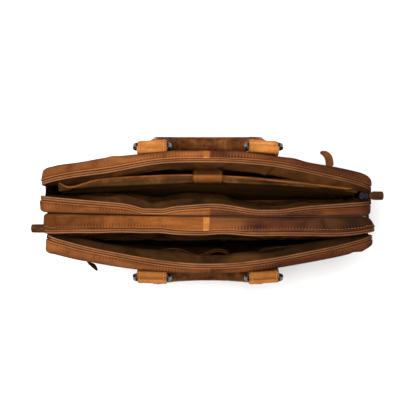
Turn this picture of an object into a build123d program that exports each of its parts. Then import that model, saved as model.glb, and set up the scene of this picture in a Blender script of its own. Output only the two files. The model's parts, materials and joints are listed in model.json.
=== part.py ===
from build123d import *
import os
from math import atan2, cos, degrees, hypot, radians, sin, sqrt

# Soft leather briefcase with two zipped compartments, standing on its base with both mouths open.
# Millimetres. +X runs along the bag, +Y is the rear and +Z is up. The origin is the base's centre, on the floor.

# Driving dimensions.
BODY_LENGTH = 410.0
BODY_HEIGHT = 300.0
BASE_DEPTH = 100.0
LEATHER = 2.2
LINING = 0.8
SEAM_GAP = 0.3          # room between pieces that are sewn together
FLOOR_GAP = 0.8         # room between the base panel and the walls above it
BASE_CORNER = 6.0
TAPE_WIDTH = 6.0
TAPE_THICKNESS = 1.2
COIL = 1.5              # side of the square bead that stands for a zip's coil
COIL_GAP = 0.6          # between the bead and the tape's edge
ZIP_FOOT = 150.0        # height at which the main zips end on the sides
HALF = BODY_LENGTH / 2

# Stiffening boards and linings.
BOARD_THICKNESS = 2.0
BOARD_MARGIN = 8.0      # from the boards' edges to the bag's sides
BOARD_FOOT_GAP = 0.5
BOARD_TOP_GAP = 1.5
BOARD_LINING_GAP = 0.2
WALL_LINING_GAP = 0.6
LINING_SIDE_GAP = 3.0
LINING_FOOT_GAP = 2.5
LINING_TOP_GAP = 4.0

# Plan curves as (y at the left end, y at the middle, y at the right end), each an arc.
REAR_BASE = (48.0, 50.0, 48.0)
REAR_RIM = (48.0, 75.5, 44.0)
REAR_ZIP = (34.0, 64.5, 27.0)
CENTRE_REAR_ZIP = (20.0, 7.0, 13.0)
CENTRE_SEAM = (-1.0, -5.5, -5.0)
CENTRE_FRONT_ZIP = (-14.0, -29.5, -22.0)
FRONT_ZIP = (-28.5, -62.5, -29.0)
FRONT_RIM = (-47.0, -75.5, -43.0)
FRONT_BASE = (-48.0, -50.0, -48.0)

# Arcs that the main zips' sliders follow through their mouths.
REAR_SLIDER_PATH = (26.0, 35.5, 18.5)
FRONT_SLIDER_PATH = (-17.5, -46.0, -25.5)

# Where the zips' edges meet the base line on the sides.
REAR_ZIP_FOOT = 27.0
CENTRE_REAR_FOOT = 22.0
CENTRE_FRONT_FOOT = -20.0
FRONT_ZIP_FOOT = -28.0

# Laptop sleeve.
DIVIDER_TOP = 285.0
DIVIDER_THICKNESS = 8.0
DIVIDER_HALF = 188.0
DIVIDER_BASE = (24.0, 24.0, 24.0)
DIVIDER_RIM = (35.0, 49.0, 32.0)
DIVIDER_FOOT = 8.0
BINDING = 3.0
BINDING_GAP = 0.1
BINDING_OVERHANG = 0.4
STRAP_WIDTH = 38.0
STRAP_THICKNESS = 2.4
STRAP_PIVOT = (50.5, 290.6)     # y, z of the fold behind the divider's edge
STRAP_CLEARANCE = 1.4           # from the divider to the strap, at the strap's bend
STRAP_LEAN = 2.9
STRAP_DROP = 24.0
ANCHOR_CLEARANCE = 1.7          # from the fold to the strap's sewn part
ANCHOR_FOLD = (0.4, -2.0)       # heights of the sewn part's end, from the fold
ANCHOR_THICKNESS = 2.0
ANCHOR_SPAN = (240.0, 262.0)
ANCHOR_WALL_GAP = 1.4
HOOK_WIDTH = 30.0
HOOK_THICKNESS = 0.7
HOOK_SPAN = (268.0, 286.0)
HOOK_CLEARANCE = (3.35, 1.05)   # from the divider, at the patch's foot and top

# Handles and their rings.
TAB_X = 70.0
TAB_WIDTH = 37.4
RING_BAR = (79.0, 291.0)        # y, z of the bar that each handle tab holds
RING_WIRE = 2.5
RING_WIDTH = 43.5               # centre line to centre line
RING_LENGTH = 14.0
RING_CORNER = 3.0
RING_HANG = 65.0                # degrees below level, at rest
RUNNING_GAP = 0.08
LOOP_WALL = 2.3
TAB_DROP = 52.0
TAB_LEAN = 4.0                  # by which the tab's foot is nearer to the panel than its top
TAB_TAIL = (-5.6, -0.2)         # y of the tail's two sides at its top, from the ring's bar
TAB_TAIL_TOP = -2.0
HANDLE_END_WIDTH = 36.0
HANDLE_LEAN = 3.0               # degrees outward from straight down, at rest
GRIP_HALF_SPAN = 68.0
GRIP_DROP = 74.0
GRIP_START = 18.0
GRIP_HALF_WIDTH = 9.0
GRIP_HALF_THICKNESS = 6.5
HANDLE_END_OVERLAP = 18.0       # of a flat end with the round grip
CORE_RADIUS = 4.2
CORE_GAP = 0.02
CORE_END_ANGLE = 12.0           # degrees of the grip's arc, at each end, that have no core

# Zip sliders and their pulls.
SLIDER_LENGTH = 10.0
SLIDER_WIDTH = 8.0
SLIDER_PLATE = 1.6
SLIDER_THROAT = 2.4
SLIDER_CORNER = 2.5
NECK_LENGTH = 3.0
NECK_WIDTH = 2.4
OVERLAP = 0.1                   # by which a slider's fused pieces enter one another
BRIDGE_LENGTH = 7.0
BRIDGE_HEIGHT = 4.0
BRIDGE_THICKNESS = 2.0
BRIDGE_ROUNDING = 1.8
BRIDGE_HOLE_RISE = 1.9
LINK_WIRE = 0.8
LINK_WIDTH = 7.4
LINK_LENGTH = 8.0
LINK_CORNER = 1.0
PULL_WIDTH = 10.8
PULL_THICKNESS = 2.4
PULL_CORNER = 3.0
PULL_HOLE_GAP = 0.05
PULL_EYE_WALL = 1.0
PULL_NECK_LENGTH = 4.0
PULL_NECK_GAP = 0.6             # room between the pull's neck and the link's two sides
PULL_START = 2.2                # from the link's bar to the pull's flat part
MAIN_PULL_LENGTH = 18.0
POCKET_PULL_LENGTH = 20.0
SLIDER_END_INSET = 12.0         # from a side of the bag to the slider of an open main zip
FRONT_SLIDER_DEPTH = 15.0
PIVOT_RISE = SLIDER_THROAT / 2 + SLIDER_PLATE + BRIDGE_HOLE_RISE

# Outer pockets.
POCKET_ZIP_LOW = 158.0
POCKET_ZIP_HIGH = 168.0
POCKET_ZIP_GAP = 0.4
POCKET_ZIP_THICKNESS = 1.4
POCKET_SLIDER_STAND_OFF = 5.0
POCKET_ZIP_SPAN = {"rear": (-160.0, 176.0), "front": (-178.0, 190.0)}
POCKET_SLIDER_X = {"rear": 163.0, "front": -166.0}
POCKET_PULL_ANGLE = {"rear": 120.0, "front": -50.0}     # degrees from +X, at rest

# Open pockets on the front wall, inside.
ORGANISER_SPAN = {"left": (-182.0, 46.0), "right": (48.0, 184.0)}
ORGANISER_TOP = {"left": 266.0, "right": 252.0}
ORGANISER_DEPTH = 5.0
ORGANISER_CLOTH = 1.2
ORGANISER_FOOT_GAP = 6.0


def shifted(curve, offset):
    return tuple(y + offset for y in curve)


def between(low, high, share):
    return tuple(a + (b - a) * share for a, b in zip(low, high))


def circle_of(curve):
    """Centre x, centre y and radius of the circle through the curve's three points."""
    left, middle, right = curve
    ax, ay, bx, by = -HALF, left - middle, HALF, right - middle
    d = 2 * (ax * by - ay * bx)
    a2 = ax * ax + ay * ay
    b2 = bx * bx + by * by
    cx = (by * a2 - ay * b2) / d
    cy = (ax * b2 - bx * a2) / d
    return cx, cy + middle, hypot(cx, cy)


def y_on(curve, x):
    cx, cy, radius = circle_of(curve)
    bulge = 1 if curve[1] > cy else -1
    return cy + bulge * sqrt(radius * radius - (x - cx) ** 2)


def arc(curve, x0, x1):
    xm = (x0 + x1) / 2
    return ThreePointArc((x0, y_on(curve, x0)), (xm, y_on(curve, xm)), (x1, y_on(curve, x1)))


def strip(curve_a, curve_b, x0, x1):
    """The flat region between two plan curves, from x0 to x1."""
    edge_a = arc(curve_a, x0, x1)
    edge_b = arc(curve_b, x0, x1)
    ends = [Line(edge_a @ 0, edge_b @ 0), Line(edge_a @ 1, edge_b @ 1)]
    return make_face([edge_a, edge_b] + ends)


def band(curve_a, curve_b, z0, z1, x0=-HALF, x1=HALF):
    """A level plate between two plan curves."""
    return Pos(0, 0, z0) * extrude(strip(curve_a, curve_b, x0, x1), z1 - z0)


def leaning_wall(base, rim, thickness, z0, z1, x0, x1):
    """A bowed wall. Its outer face runs from the base curve on the floor to the rim curve at the top."""
    sections = []
    for z in (z0, z1):
        outer = between(base, rim, z / BODY_HEIGHT)
        sections.append(Pos(0, 0, z) * strip(outer, shifted(outer, -thickness), x0, x1))
    return loft(sections, ruled=True)


def side_plate(x_face, inner, outer, z0, z1, thickness):
    """A plate in a side wall. inner and outer are (y on the floor, y at the top); x_face is its outer side."""
    corners = [(edge[0] + (edge[1] - edge[0]) * z / BODY_HEIGHT, z) for edge, z in
               ((inner, z0), (outer, z0), (outer, z1), (inner, z1))]
    outline = Plane.YZ * make_face(Polyline(*corners, close=True))
    inward = -thickness if x_face > 0 else thickness
    return Pos(x_face, 0, 0) * extrude(outline, inward)


def gusset(outer_curve, outer_foot, zip_curve, zip_foot):
    """Half of a compartment's gusset: the top band and both side plates, up to its zip tape."""
    toward = 1 if outer_curve[1] > zip_curve[1] else -1
    edge = shifted(zip_curve, toward * (TAPE_WIDTH + SEAM_GAP))
    rim = shifted(outer_curve, -toward * SEAM_GAP)
    shape = band(edge, rim, BODY_HEIGHT - LEATHER, BODY_HEIGHT)
    foot = zip_foot + toward * (TAPE_WIDTH + SEAM_GAP)
    for end, x_face in ((0, -HALF), (2, HALF)):
        inner = (foot, edge[end])
        outer = (outer_foot - toward * SEAM_GAP, rim[end])
        floor = LEATHER + FLOOR_GAP
        shape += side_plate(x_face, inner, outer, floor, BODY_HEIGHT - LEATHER, LEATHER)
    return shape


def zip_tape(zip_curve, zip_foot, toward):
    """The woven tape sewn to a gusset: the top run and both side runs."""
    inner = shifted(zip_curve, toward * (COIL + COIL_GAP))
    outer = shifted(zip_curve, toward * TAPE_WIDTH)
    top = BODY_HEIGHT - SEAM_GAP
    shape = band(inner, outer, top - TAPE_THICKNESS, top)
    foot = (zip_foot + toward * (COIL + COIL_GAP), zip_foot + toward * TAPE_WIDTH)
    for end, x_face in ((0, -HALF + SEAM_GAP), (2, HALF - SEAM_GAP)):
        near = (foot[0], inner[end])
        far = (foot[1], outer[end])
        shape += side_plate(x_face, near, far, ZIP_FOOT, top - TAPE_THICKNESS, TAPE_THICKNESS)
    return shape


def zip_coil(zip_curve, zip_foot, toward):
    """The coil on a tape's free edge."""
    outer = shifted(zip_curve, toward * COIL)
    top = BODY_HEIGHT - 0.1
    shape = band(zip_curve, outer, top - COIL, top)
    for end, x_face in ((0, -HALF + 0.1), (2, HALF - 0.1)):
        near = (zip_foot, zip_curve[end])
        far = (zip_foot + toward * COIL, outer[end])
        shape += side_plate(x_face, near, far, ZIP_FOOT, top - COIL, COIL)
    return shape


def base_parts():
    """Leather base, its stiffener, and the board and linings that part the two compartments."""
    base = extrude(RectangleRounded(BODY_LENGTH, BASE_DEPTH, BASE_CORNER), LEATHER)
    board_length = BODY_LENGTH - 2 * BOARD_MARGIN
    board_depth = BASE_DEPTH - 2 * BOARD_MARGIN
    base_board = extrude(RectangleRounded(board_length, board_depth, BASE_CORNER), BOARD_THICKNESS)
    wall_low = LEATHER + BOARD_THICKNESS + BOARD_FOOT_GAP
    wall_height = BODY_HEIGHT - LEATHER - BOARD_TOP_GAP - wall_low
    wall_y = CENTRE_SEAM[1]
    board = extrude(Rectangle(board_length, BOARD_THICKNESS), wall_height)
    parts = {
        "base_panel": base,
        "base_board": Pos(0, 0, LEATHER) * base_board,
        "centre_board": Pos(0, wall_y, wall_low) * board,
    }
    for name, toward in (("centre_lining_rear", 1), ("centre_lining_front", -1)):
        y = wall_y + toward * (BOARD_THICKNESS / 2 + BOARD_LINING_GAP + LINING / 2)
        sheet = extrude(Rectangle(board_length, LINING), wall_height)
        parts[name] = Pos(0, y, wall_low) * sheet
    return parts


def gusset_parts():
    """Four gusset halves with their zip tapes and coils, from the rear to the front."""
    wall_inner = LEATHER + SEAM_GAP
    rows = (
        ("rear", shifted(REAR_RIM, -wall_inner), REAR_BASE[0] - wall_inner, REAR_ZIP, REAR_ZIP_FOOT, 1),
        ("centre_rear", CENTRE_SEAM, CENTRE_SEAM[2], CENTRE_REAR_ZIP, CENTRE_REAR_FOOT, -1),
        ("centre_front", CENTRE_SEAM, CENTRE_SEAM[2], CENTRE_FRONT_ZIP, CENTRE_FRONT_FOOT, 1),
        ("front", shifted(FRONT_RIM, wall_inner), FRONT_BASE[0] + wall_inner, FRONT_ZIP, FRONT_ZIP_FOOT, -1),
    )
    parts = {}
    for name, rim, rim_foot, zip_curve, zip_foot, toward in rows:
        parts[name + "_gusset"] = gusset(rim, rim_foot, zip_curve, zip_foot)
        parts[name + "_zip_tape"] = zip_tape(zip_curve, zip_foot, toward)
        parts[name + "_zip_coil"] = zip_coil(zip_curve, zip_foot, toward)
    return parts


def panel_parts():
    """Front and rear leather panels with their linings."""
    parts = {}
    floor = LEATHER + FLOOR_GAP
    for name, base, rim, outward in (("rear", REAR_BASE, REAR_RIM, 1), ("front", FRONT_BASE, FRONT_RIM, -1)):
        parts[name + "_panel"] = leaning_wall(base, rim, outward * LEATHER, floor, BODY_HEIGHT, -HALF, HALF)
        gap = -outward * (LEATHER + WALL_LINING_GAP)
        half = HALF - LEATHER - LINING_SIDE_GAP
        low = floor + LINING_FOOT_GAP
        high = BODY_HEIGHT - LINING_TOP_GAP
        inner_base = shifted(base, gap)
        inner_rim = shifted(rim, gap)
        parts[name + "_lining"] = leaning_wall(inner_base, inner_rim, outward * LINING, low, high, -half, half)
    return parts


def organiser_parts():
    """The front wall's two open pockets."""
    gap = LEATHER + LINING + ORGANISER_DEPTH
    base = shifted(FRONT_BASE, gap)
    rim = shifted(FRONT_RIM, gap)
    low = LEATHER + FLOOR_GAP + ORGANISER_FOOT_GAP
    parts = {}
    for side, (x0, x1) in ORGANISER_SPAN.items():
        top = ORGANISER_TOP[side]
        parts["organiser_pocket_" + side] = leaning_wall(base, rim, -ORGANISER_CLOTH, low, top, x0, x1)
    return parts


def divider_parts():
    """Padded laptop divider with its bound edge."""
    curve = between(DIVIDER_BASE, DIVIDER_RIM, DIVIDER_TOP / BODY_HEIGHT)
    pad = leaning_wall(DIVIDER_BASE, DIVIDER_RIM, DIVIDER_THICKNESS, DIVIDER_FOOT, DIVIDER_TOP,
                       -DIVIDER_HALF, DIVIDER_HALF)
    front = shifted(curve, -DIVIDER_THICKNESS - BINDING_OVERHANG)
    rear = shifted(curve, BINDING_OVERHANG)
    low = DIVIDER_TOP + BINDING_GAP
    binding = band(front, rear, low, low + BINDING, -DIVIDER_HALF, DIVIDER_HALF)
    return {"laptop_divider": pad, "divider_binding": binding}


def strap_parts():
    """The laptop strap in three pieces: sewn part on the wall, lifting part, and its hook patch."""
    curve = between(DIVIDER_BASE, DIVIDER_RIM, DIVIDER_TOP / BODY_HEIGHT)
    front = y_on(curve, 0) - DIVIDER_THICKNESS
    y0, z0 = STRAP_PIVOT
    t = STRAP_THICKNESS
    bend = front - STRAP_CLEARANCE
    tip = bend - STRAP_LEAN
    flap = Polyline((y0, z0 - t / 2), (y0, z0 + t / 2), (bend - t, z0 + t / 2), (tip - t, z0 - STRAP_DROP),
                    (tip, z0 - STRAP_DROP), (bend, z0 - t / 2), close=True)
    flap_face = make_face(flap) + Pos(y0, z0) * Circle(t / 2)
    anchor_low, anchor_high = ANCHOR_SPAN
    wall = y_on(between(REAR_BASE, REAR_RIM, anchor_low / BODY_HEIGHT), 0)
    wall -= LEATHER + LINING + ANCHOR_WALL_GAP
    near = y0 + ANCHOR_CLEARANCE
    inner = wall - ANCHOR_THICKNESS
    anchor = Polyline((near, z0 + ANCHOR_FOLD[0]), (near, z0 + ANCHOR_FOLD[1]), (inner, anchor_high),
                      (inner, anchor_low), (wall, anchor_low), (wall, anchor_high), close=True)
    hook_low, hook_high = HOOK_SPAN
    low_y = front - HOOK_CLEARANCE[0]
    high_y = front - HOOK_CLEARANCE[1]
    hook = Polyline((high_y - HOOK_THICKNESS, hook_high), (high_y, hook_high), (low_y, hook_low),
                    (low_y - HOOK_THICKNESS, hook_low), close=True)
    rows = (
        ("laptop_strap", flap_face, STRAP_WIDTH),
        ("laptop_strap_anchor", make_face(anchor), STRAP_WIDTH),
        ("strap_hook_patch", make_face(hook), HOOK_WIDTH),
    )
    return {name: extrude(Plane.YZ * face, width / 2, both=True) for name, face, width in rows}


def direction(angle, outward):
    """(y, z) of a unit step that points outward and `angle` degrees below level."""
    return outward * cos(radians(angle)), -sin(radians(angle))


def hanging_plane(y, z, angle, outward):
    """A plane through (0, y, z) whose x is +X and whose y points outward and down."""
    dy, dz = direction(angle, outward)
    return Plane(origin=(0, y, z), x_dir=(1, 0, 0), z_dir=(0, -dz, dy))


def handle_tab(x, outward):
    """Leather tab on a panel, looped over one bar of a ring."""
    y, z = RING_BAR
    loop = Circle(RING_WIRE + RUNNING_GAP + LOOP_WALL)
    top = z + TAB_TAIL_TOP
    foot = z - TAB_DROP
    inner, outer = TAB_TAIL
    tail = make_face(Polyline((y + inner, top), (y + outer, top), (y + outer - TAB_LEAN, foot),
                              (y + inner - TAB_LEAN, foot), close=True))
    shape = Pos(y, z) * loop + tail
    shape -= Pos(y, z) * Circle(RING_WIRE + RUNNING_GAP)
    solid = extrude(Plane.YZ * shape, TAB_WIDTH / 2, both=True)
    if outward < 0:
        solid = mirror(solid, Plane.XZ)
    return Pos(x, 0, 0) * solid


def ring(x, outward):
    """Rounded rectangular wire ring, hanging from its tab."""
    plane = hanging_plane(outward * RING_BAR[0], RING_BAR[1], RING_HANG, outward)
    path = RectangleRounded(RING_WIDTH, RING_LENGTH, RING_CORNER).face().outer_wire()
    path = plane * (Pos(x, RING_LENGTH / 2) * path)
    start = Plane(origin=path @ 0, z_dir=path % 0)
    return sweep(start * Circle(RING_WIRE), path=path)


def handle_parts(outward):
    """The handle's leather cover with its two end loops, and its core, hanging from both rings."""
    dy, dz = direction(RING_HANG, outward)
    y = outward * RING_BAR[0] + RING_LENGTH * dy
    z = RING_BAR[1] + RING_LENGTH * dz
    plane = hanging_plane(y, z, 90 - HANDLE_LEAN, outward)
    path = EllipticalCenterArc((0, GRIP_START), GRIP_HALF_SPAN, GRIP_DROP, 0, arc_size=180)
    section = Plane(origin=path @ 0, x_dir=(1, 0, 0), z_dir=path % 0)
    cover = sweep(section * Ellipse(GRIP_HALF_THICKNESS, GRIP_HALF_WIDTH), path=path)
    bar_hole = RING_WIRE + RUNNING_GAP
    across = Plane.YZ
    for side in (-1, 1):
        eye = extrude(across * Circle(bar_hole + LOOP_WALL), HANDLE_END_WIDTH / 2, both=True)
        end_length = GRIP_START + HANDLE_END_OVERLAP
        end = Pos(0, end_length / 2, 0) * Box(HANDLE_END_WIDTH, end_length, 2 * LOOP_WALL)
        hole = extrude(across * Circle(bar_hole), HANDLE_END_WIDTH, both=True)
        cover += Pos(side * TAB_X, 0, 0) * (eye + end - hole)
    core_arc = 180 - 2 * CORE_END_ANGLE
    core_path = EllipticalCenterArc((0, GRIP_START), GRIP_HALF_SPAN, GRIP_DROP, CORE_END_ANGLE, arc_size=core_arc)
    core_plane = Plane(origin=core_path @ 0, z_dir=core_path % 0)
    core = sweep(core_plane * Circle(CORE_RADIUS), path=core_path)
    cover -= sweep(core_plane * Circle(CORE_RADIUS + CORE_GAP), path=core_path)
    return plane.location * cover, plane.location * core


def slider_body():
    """Zip slider: two plates on a neck, with a pierced bridge. Travel is X, the zip's outer side is +Z."""
    rise = (SLIDER_THROAT + SLIDER_PLATE) / 2
    plate = extrude(RectangleRounded(SLIDER_LENGTH, SLIDER_WIDTH, SLIDER_CORNER), SLIDER_PLATE / 2, both=True)
    neck = Box(NECK_LENGTH, NECK_WIDTH, SLIDER_THROAT + 2 * OVERLAP)
    bridge_z = SLIDER_THROAT / 2 + SLIDER_PLATE + BRIDGE_HEIGHT / 2 - OVERLAP
    bridge = Pos(0, 0, bridge_z) * Box(BRIDGE_LENGTH, BRIDGE_THICKNESS, BRIDGE_HEIGHT)
    bridge = fillet(bridge.edges().filter_by(Axis.Y).group_by(Axis.Z)[-1], BRIDGE_ROUNDING)
    hole = Pos(0, 0, PIVOT_RISE) * Rot(90, 0, 0) * Cylinder(LINK_WIRE + RUNNING_GAP, 2 * BRIDGE_THICKNESS)
    return Pos(0, 0, rise) * plate + Pos(0, 0, -rise) * plate + neck + bridge - hole


def pull_link():
    """Wire link through the slider's bridge. Its pivot is the origin, about Y, and it reaches along +X."""
    path = RectangleRounded(LINK_LENGTH, LINK_WIDTH, LINK_CORNER).face().outer_wire()
    path = Pos(LINK_LENGTH / 2, 0) * path
    start = Plane(origin=path @ 0, z_dir=path % 0)
    return sweep(start * Circle(LINK_WIRE), path=path)


def pull_tab(length):
    """Leather pull, looped over the link's far bar."""
    hole = LINK_WIRE + PULL_HOLE_GAP
    neck_width = LINK_WIDTH - 2 * LINK_WIRE - PULL_NECK_GAP
    eye = Circle(hole + PULL_EYE_WALL)
    neck = Pos(PULL_NECK_LENGTH / 2, 0) * Rectangle(PULL_NECK_LENGTH, PULL_THICKNESS)
    profile = Plane.XZ * (eye + neck - Circle(hole))
    loop = extrude(profile, neck_width / 2, both=True)
    body = extrude(RectangleRounded(length, PULL_WIDTH, PULL_CORNER), PULL_THICKNESS / 2, both=True)
    return Pos(LINK_LENGTH, 0, 0) * (loop + Pos(PULL_START + length / 2, 0, 0) * body)


def zip_set(place, pull_place, pull_length):
    """Slider, link and leather pull of one zip."""
    return place * slider_body(), pull_place * pull_link(), pull_place * pull_tab(pull_length)


def main_zip_parts():
    """Sliders of the two main zips, each at the end where its zip is fully open."""
    sides = HALF - SLIDER_END_INSET
    mid_z = BODY_HEIGHT - LEATHER / 2
    rear = Pos(sides, y_on(REAR_SLIDER_PATH, sides), mid_z)
    front = Pos(-sides, y_on(FRONT_SLIDER_PATH, -sides), BODY_HEIGHT - FRONT_SLIDER_DEPTH)
    lift = Pos(0, 0, PIVOT_RISE)
    sets = (
        ("rear_main", rear, rear * lift, MAIN_PULL_LENGTH),
        ("front_main", front, front * lift * Rot(0, 0, 180), MAIN_PULL_LENGTH),
    )
    return name_sets(sets)


def name_sets(sets):
    parts = {}
    for name, place, pull_place, length in sets:
        slider, link, tab = zip_set(place, pull_place, length)
        parts[name + "_slider"] = slider
        parts[name + "_pull_link"] = link
        parts[name + "_pull"] = tab
    return parts


def pocket_zip_parts():
    """Outer pocket zips on the rear and front panels, with sliders and pulls."""
    share = POCKET_ZIP_HIGH / BODY_HEIGHT
    z = (POCKET_ZIP_LOW + POCKET_ZIP_HIGH) / 2
    parts = {}
    for end, base, rim, outward in (("rear", REAR_BASE, REAR_RIM, 1), ("front", FRONT_BASE, FRONT_RIM, -1)):
        face = between(base, rim, share)
        near = shifted(face, outward * POCKET_ZIP_GAP)
        far = shifted(face, outward * (POCKET_ZIP_GAP + POCKET_ZIP_THICKNESS))
        parts[end + "_pocket_zip"] = band(near, far, POCKET_ZIP_LOW, POCKET_ZIP_HIGH, *POCKET_ZIP_SPAN[end])
        path = shifted(face, outward * POCKET_SLIDER_STAND_OFF)
        x = POCKET_SLIDER_X[end]
        y = y_on(path, x)
        cx, cy, _ = circle_of(path)
        radial = degrees(atan2(y - cy, x - cx))
        spot = Pos(x, y, z) * Rot(0, 0, radial)
        place = spot * Rot(0, 90, 0) * Rot(0, 0, 90)
        swing = POCKET_PULL_ANGLE[end] - radial
        pull_place = spot * Pos(PIVOT_RISE, 0, 0) * Rot(0, 0, swing) * Rot(90, 0, 0)
        parts.update(name_sets(((end + "_pocket", place, pull_place, POCKET_PULL_LENGTH),)))
    return parts


def ring_and_handle_parts():
    parts = {}
    for end, outward in (("rear", 1), ("front", -1)):
        for side, x in (("left", -TAB_X), ("right", TAB_X)):
            parts[f"{end}_handle_tab_{side}"] = handle_tab(x, outward)
            parts[f"{end}_ring_{side}"] = ring(x, outward)
        cover, core = handle_parts(outward)
        parts[end + "_handle"] = cover
        parts[end + "_handle_core"] = core
    return parts


def write_parts(parts):
    os.makedirs("parts", exist_ok=True)
    for name, shape in parts.items():
        shape.label = name
        export_step(shape, f"parts/{name}.step")


PARTS = {}
PARTS.update(base_parts())
PARTS.update(gusset_parts())
PARTS.update(panel_parts())
PARTS.update(organiser_parts())
PARTS.update(divider_parts())
PARTS.update(strap_parts())
PARTS.update(ring_and_handle_parts())
PARTS.update(main_zip_parts())
PARTS.update(pocket_zip_parts())
write_parts(PARTS)
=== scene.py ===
import json
import math

import bpy
import numpy as np
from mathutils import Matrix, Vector


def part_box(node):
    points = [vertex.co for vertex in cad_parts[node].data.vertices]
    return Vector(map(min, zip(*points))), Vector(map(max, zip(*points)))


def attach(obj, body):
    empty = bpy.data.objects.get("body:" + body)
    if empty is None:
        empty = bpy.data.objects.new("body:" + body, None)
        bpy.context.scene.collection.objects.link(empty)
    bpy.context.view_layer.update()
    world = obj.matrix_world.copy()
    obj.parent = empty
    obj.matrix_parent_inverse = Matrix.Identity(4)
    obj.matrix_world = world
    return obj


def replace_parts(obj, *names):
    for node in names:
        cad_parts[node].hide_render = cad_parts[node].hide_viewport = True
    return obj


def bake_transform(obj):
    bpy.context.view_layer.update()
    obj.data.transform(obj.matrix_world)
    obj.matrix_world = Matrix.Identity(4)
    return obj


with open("model.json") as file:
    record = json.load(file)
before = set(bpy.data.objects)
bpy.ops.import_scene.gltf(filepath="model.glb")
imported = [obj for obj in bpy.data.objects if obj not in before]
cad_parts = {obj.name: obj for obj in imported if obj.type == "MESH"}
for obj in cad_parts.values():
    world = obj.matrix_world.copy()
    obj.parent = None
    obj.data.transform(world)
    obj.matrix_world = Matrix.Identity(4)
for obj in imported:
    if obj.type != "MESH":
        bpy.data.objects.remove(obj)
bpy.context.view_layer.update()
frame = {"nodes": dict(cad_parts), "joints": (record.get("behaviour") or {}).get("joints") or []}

# The looks of a leather briefcase that stands open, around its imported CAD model.
# Lengths are in metres, in the CAD's own frame: +X along the bag, +Y to the rear, +Z up.
# Tables and the arguments that say so are in millimetres.

MM = 0.001
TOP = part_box("rear_panel")[1].z
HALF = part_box("base_panel")[1].x
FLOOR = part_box("rear_panel")[0].z
ZIP_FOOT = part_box("rear_zip_tape")[0].z
STEP = 1.3 * MM               # along a gusset
CORNER = 15 * MM              # radius of a gusset's upper corners
TAPE = 5.6 * MM               # width of zip tape that shows
SLIMMEST = 2.6 * MM           # least width of gusset leather beside the tape
LEATHER = 1.6 * MM            # thickness of gusset leather
SKIRT = 4 * MM                # by which gusset leather laps over a panel, past its shoulder
STITCH_PITCH = 3.9 * MM

spread = np.linspace


# ---------------------------------------------------------------- numbers

def mm(*values):
    """Millimetres, in any nesting, as an array in metres."""
    return np.array(values, float) * MM


def points(x, y, z):
    """Numbers or arrays for x, y and z, spread over one another into an array of points."""
    return np.stack(np.broadcast_arrays(x, y, z), -1)


def unit(v):
    return v / np.linalg.norm(v, axis=-1, keepdims=True)


def smooth(t):
    t = np.clip(t, 0.0, 1.0)
    return t * t * (3 - 2 * t)


def bell(x, centre, width):
    return np.exp(-((x - centre) / width) ** 2)


def lattice(cells, seed):
    """A fixed pseudo-random number from -1 to 1 for each integer cell."""
    mixed = cells[..., 0] * 127.1 + cells[..., 1] * 311.7 + cells[..., 2] * 74.7 + seed * 53.3
    wave = np.sin(mixed) * 43758.5453
    return 2 * (wave - np.floor(wave)) - 1


def noise(p, size, seed=0.0):
    """Smooth noise from -1 to 1, with features about `size` across."""
    p = np.asarray(p) / size
    cell = np.floor(p)
    f = smooth(p - cell)
    total = np.zeros(p.shape[:-1])
    for corner in np.ndindex(2, 2, 2):
        c = np.array(corner)
        total += np.prod(np.where(c, f, 1 - f), axis=-1) * lattice(cell + c, seed)
    return total


def rough(p, size, seed=0.0, octaves=3):
    """Layered noise, each layer half the size and half the height of the one before."""
    return sum(noise(p, size / 2 ** k, seed + 7 * k) / 2 ** k for k in range(octaves)) / 1.7


def creases(p, size, seed=0.0):
    """Sharp folds: 0 on flat leather, up to 1 along a fold."""
    return 1 - np.minimum(1, np.abs(rough(p, size, seed, 2)) * 3.2)


def lengths(line):
    """The distance along a polyline to each of its points."""
    return np.concatenate([[0], np.cumsum(np.linalg.norm(np.diff(line, axis=0), axis=1))])


def evenly(line, count):
    """Evenly spaced points on a polyline."""
    s = lengths(line)
    return np.stack([np.interp(spread(0, s[-1], count), s, column) for column in line.T], -1)


def resample(corners, count):
    """Evenly spaced points on a smooth curve through a few given ones."""
    p = np.array(corners, float)
    for _ in range(4):
        cut = np.stack([p[:-1] * 0.75 + p[1:] * 0.25, p[:-1] * 0.25 + p[1:] * 0.75], 1)
        p = np.concatenate([p[:1], cut.reshape(-1, p.shape[1]), p[-1:]])
    return evenly(p, count)


def ahead(path, reach):
    """Unit directions along a path, from `reach` points behind each point to `reach` ahead."""
    index, last = np.arange(len(path)), len(path) - 1
    return unit(path[np.minimum(index + reach, last)] - path[np.maximum(index - reach, 0)])


def blunt(count, power_u, power_v):
    """Angles and the u and v of a rounded rectangle. Powers below 1 square it off."""
    angle = 2 * math.pi * np.arange(count) / count
    c, s = np.cos(angle), np.sin(angle)
    return angle, np.copysign(np.abs(c) ** power_u, c), np.copysign(np.abs(s) ** power_v, s)


# ---------------------------------------------------------------- lines from the CAD

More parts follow.
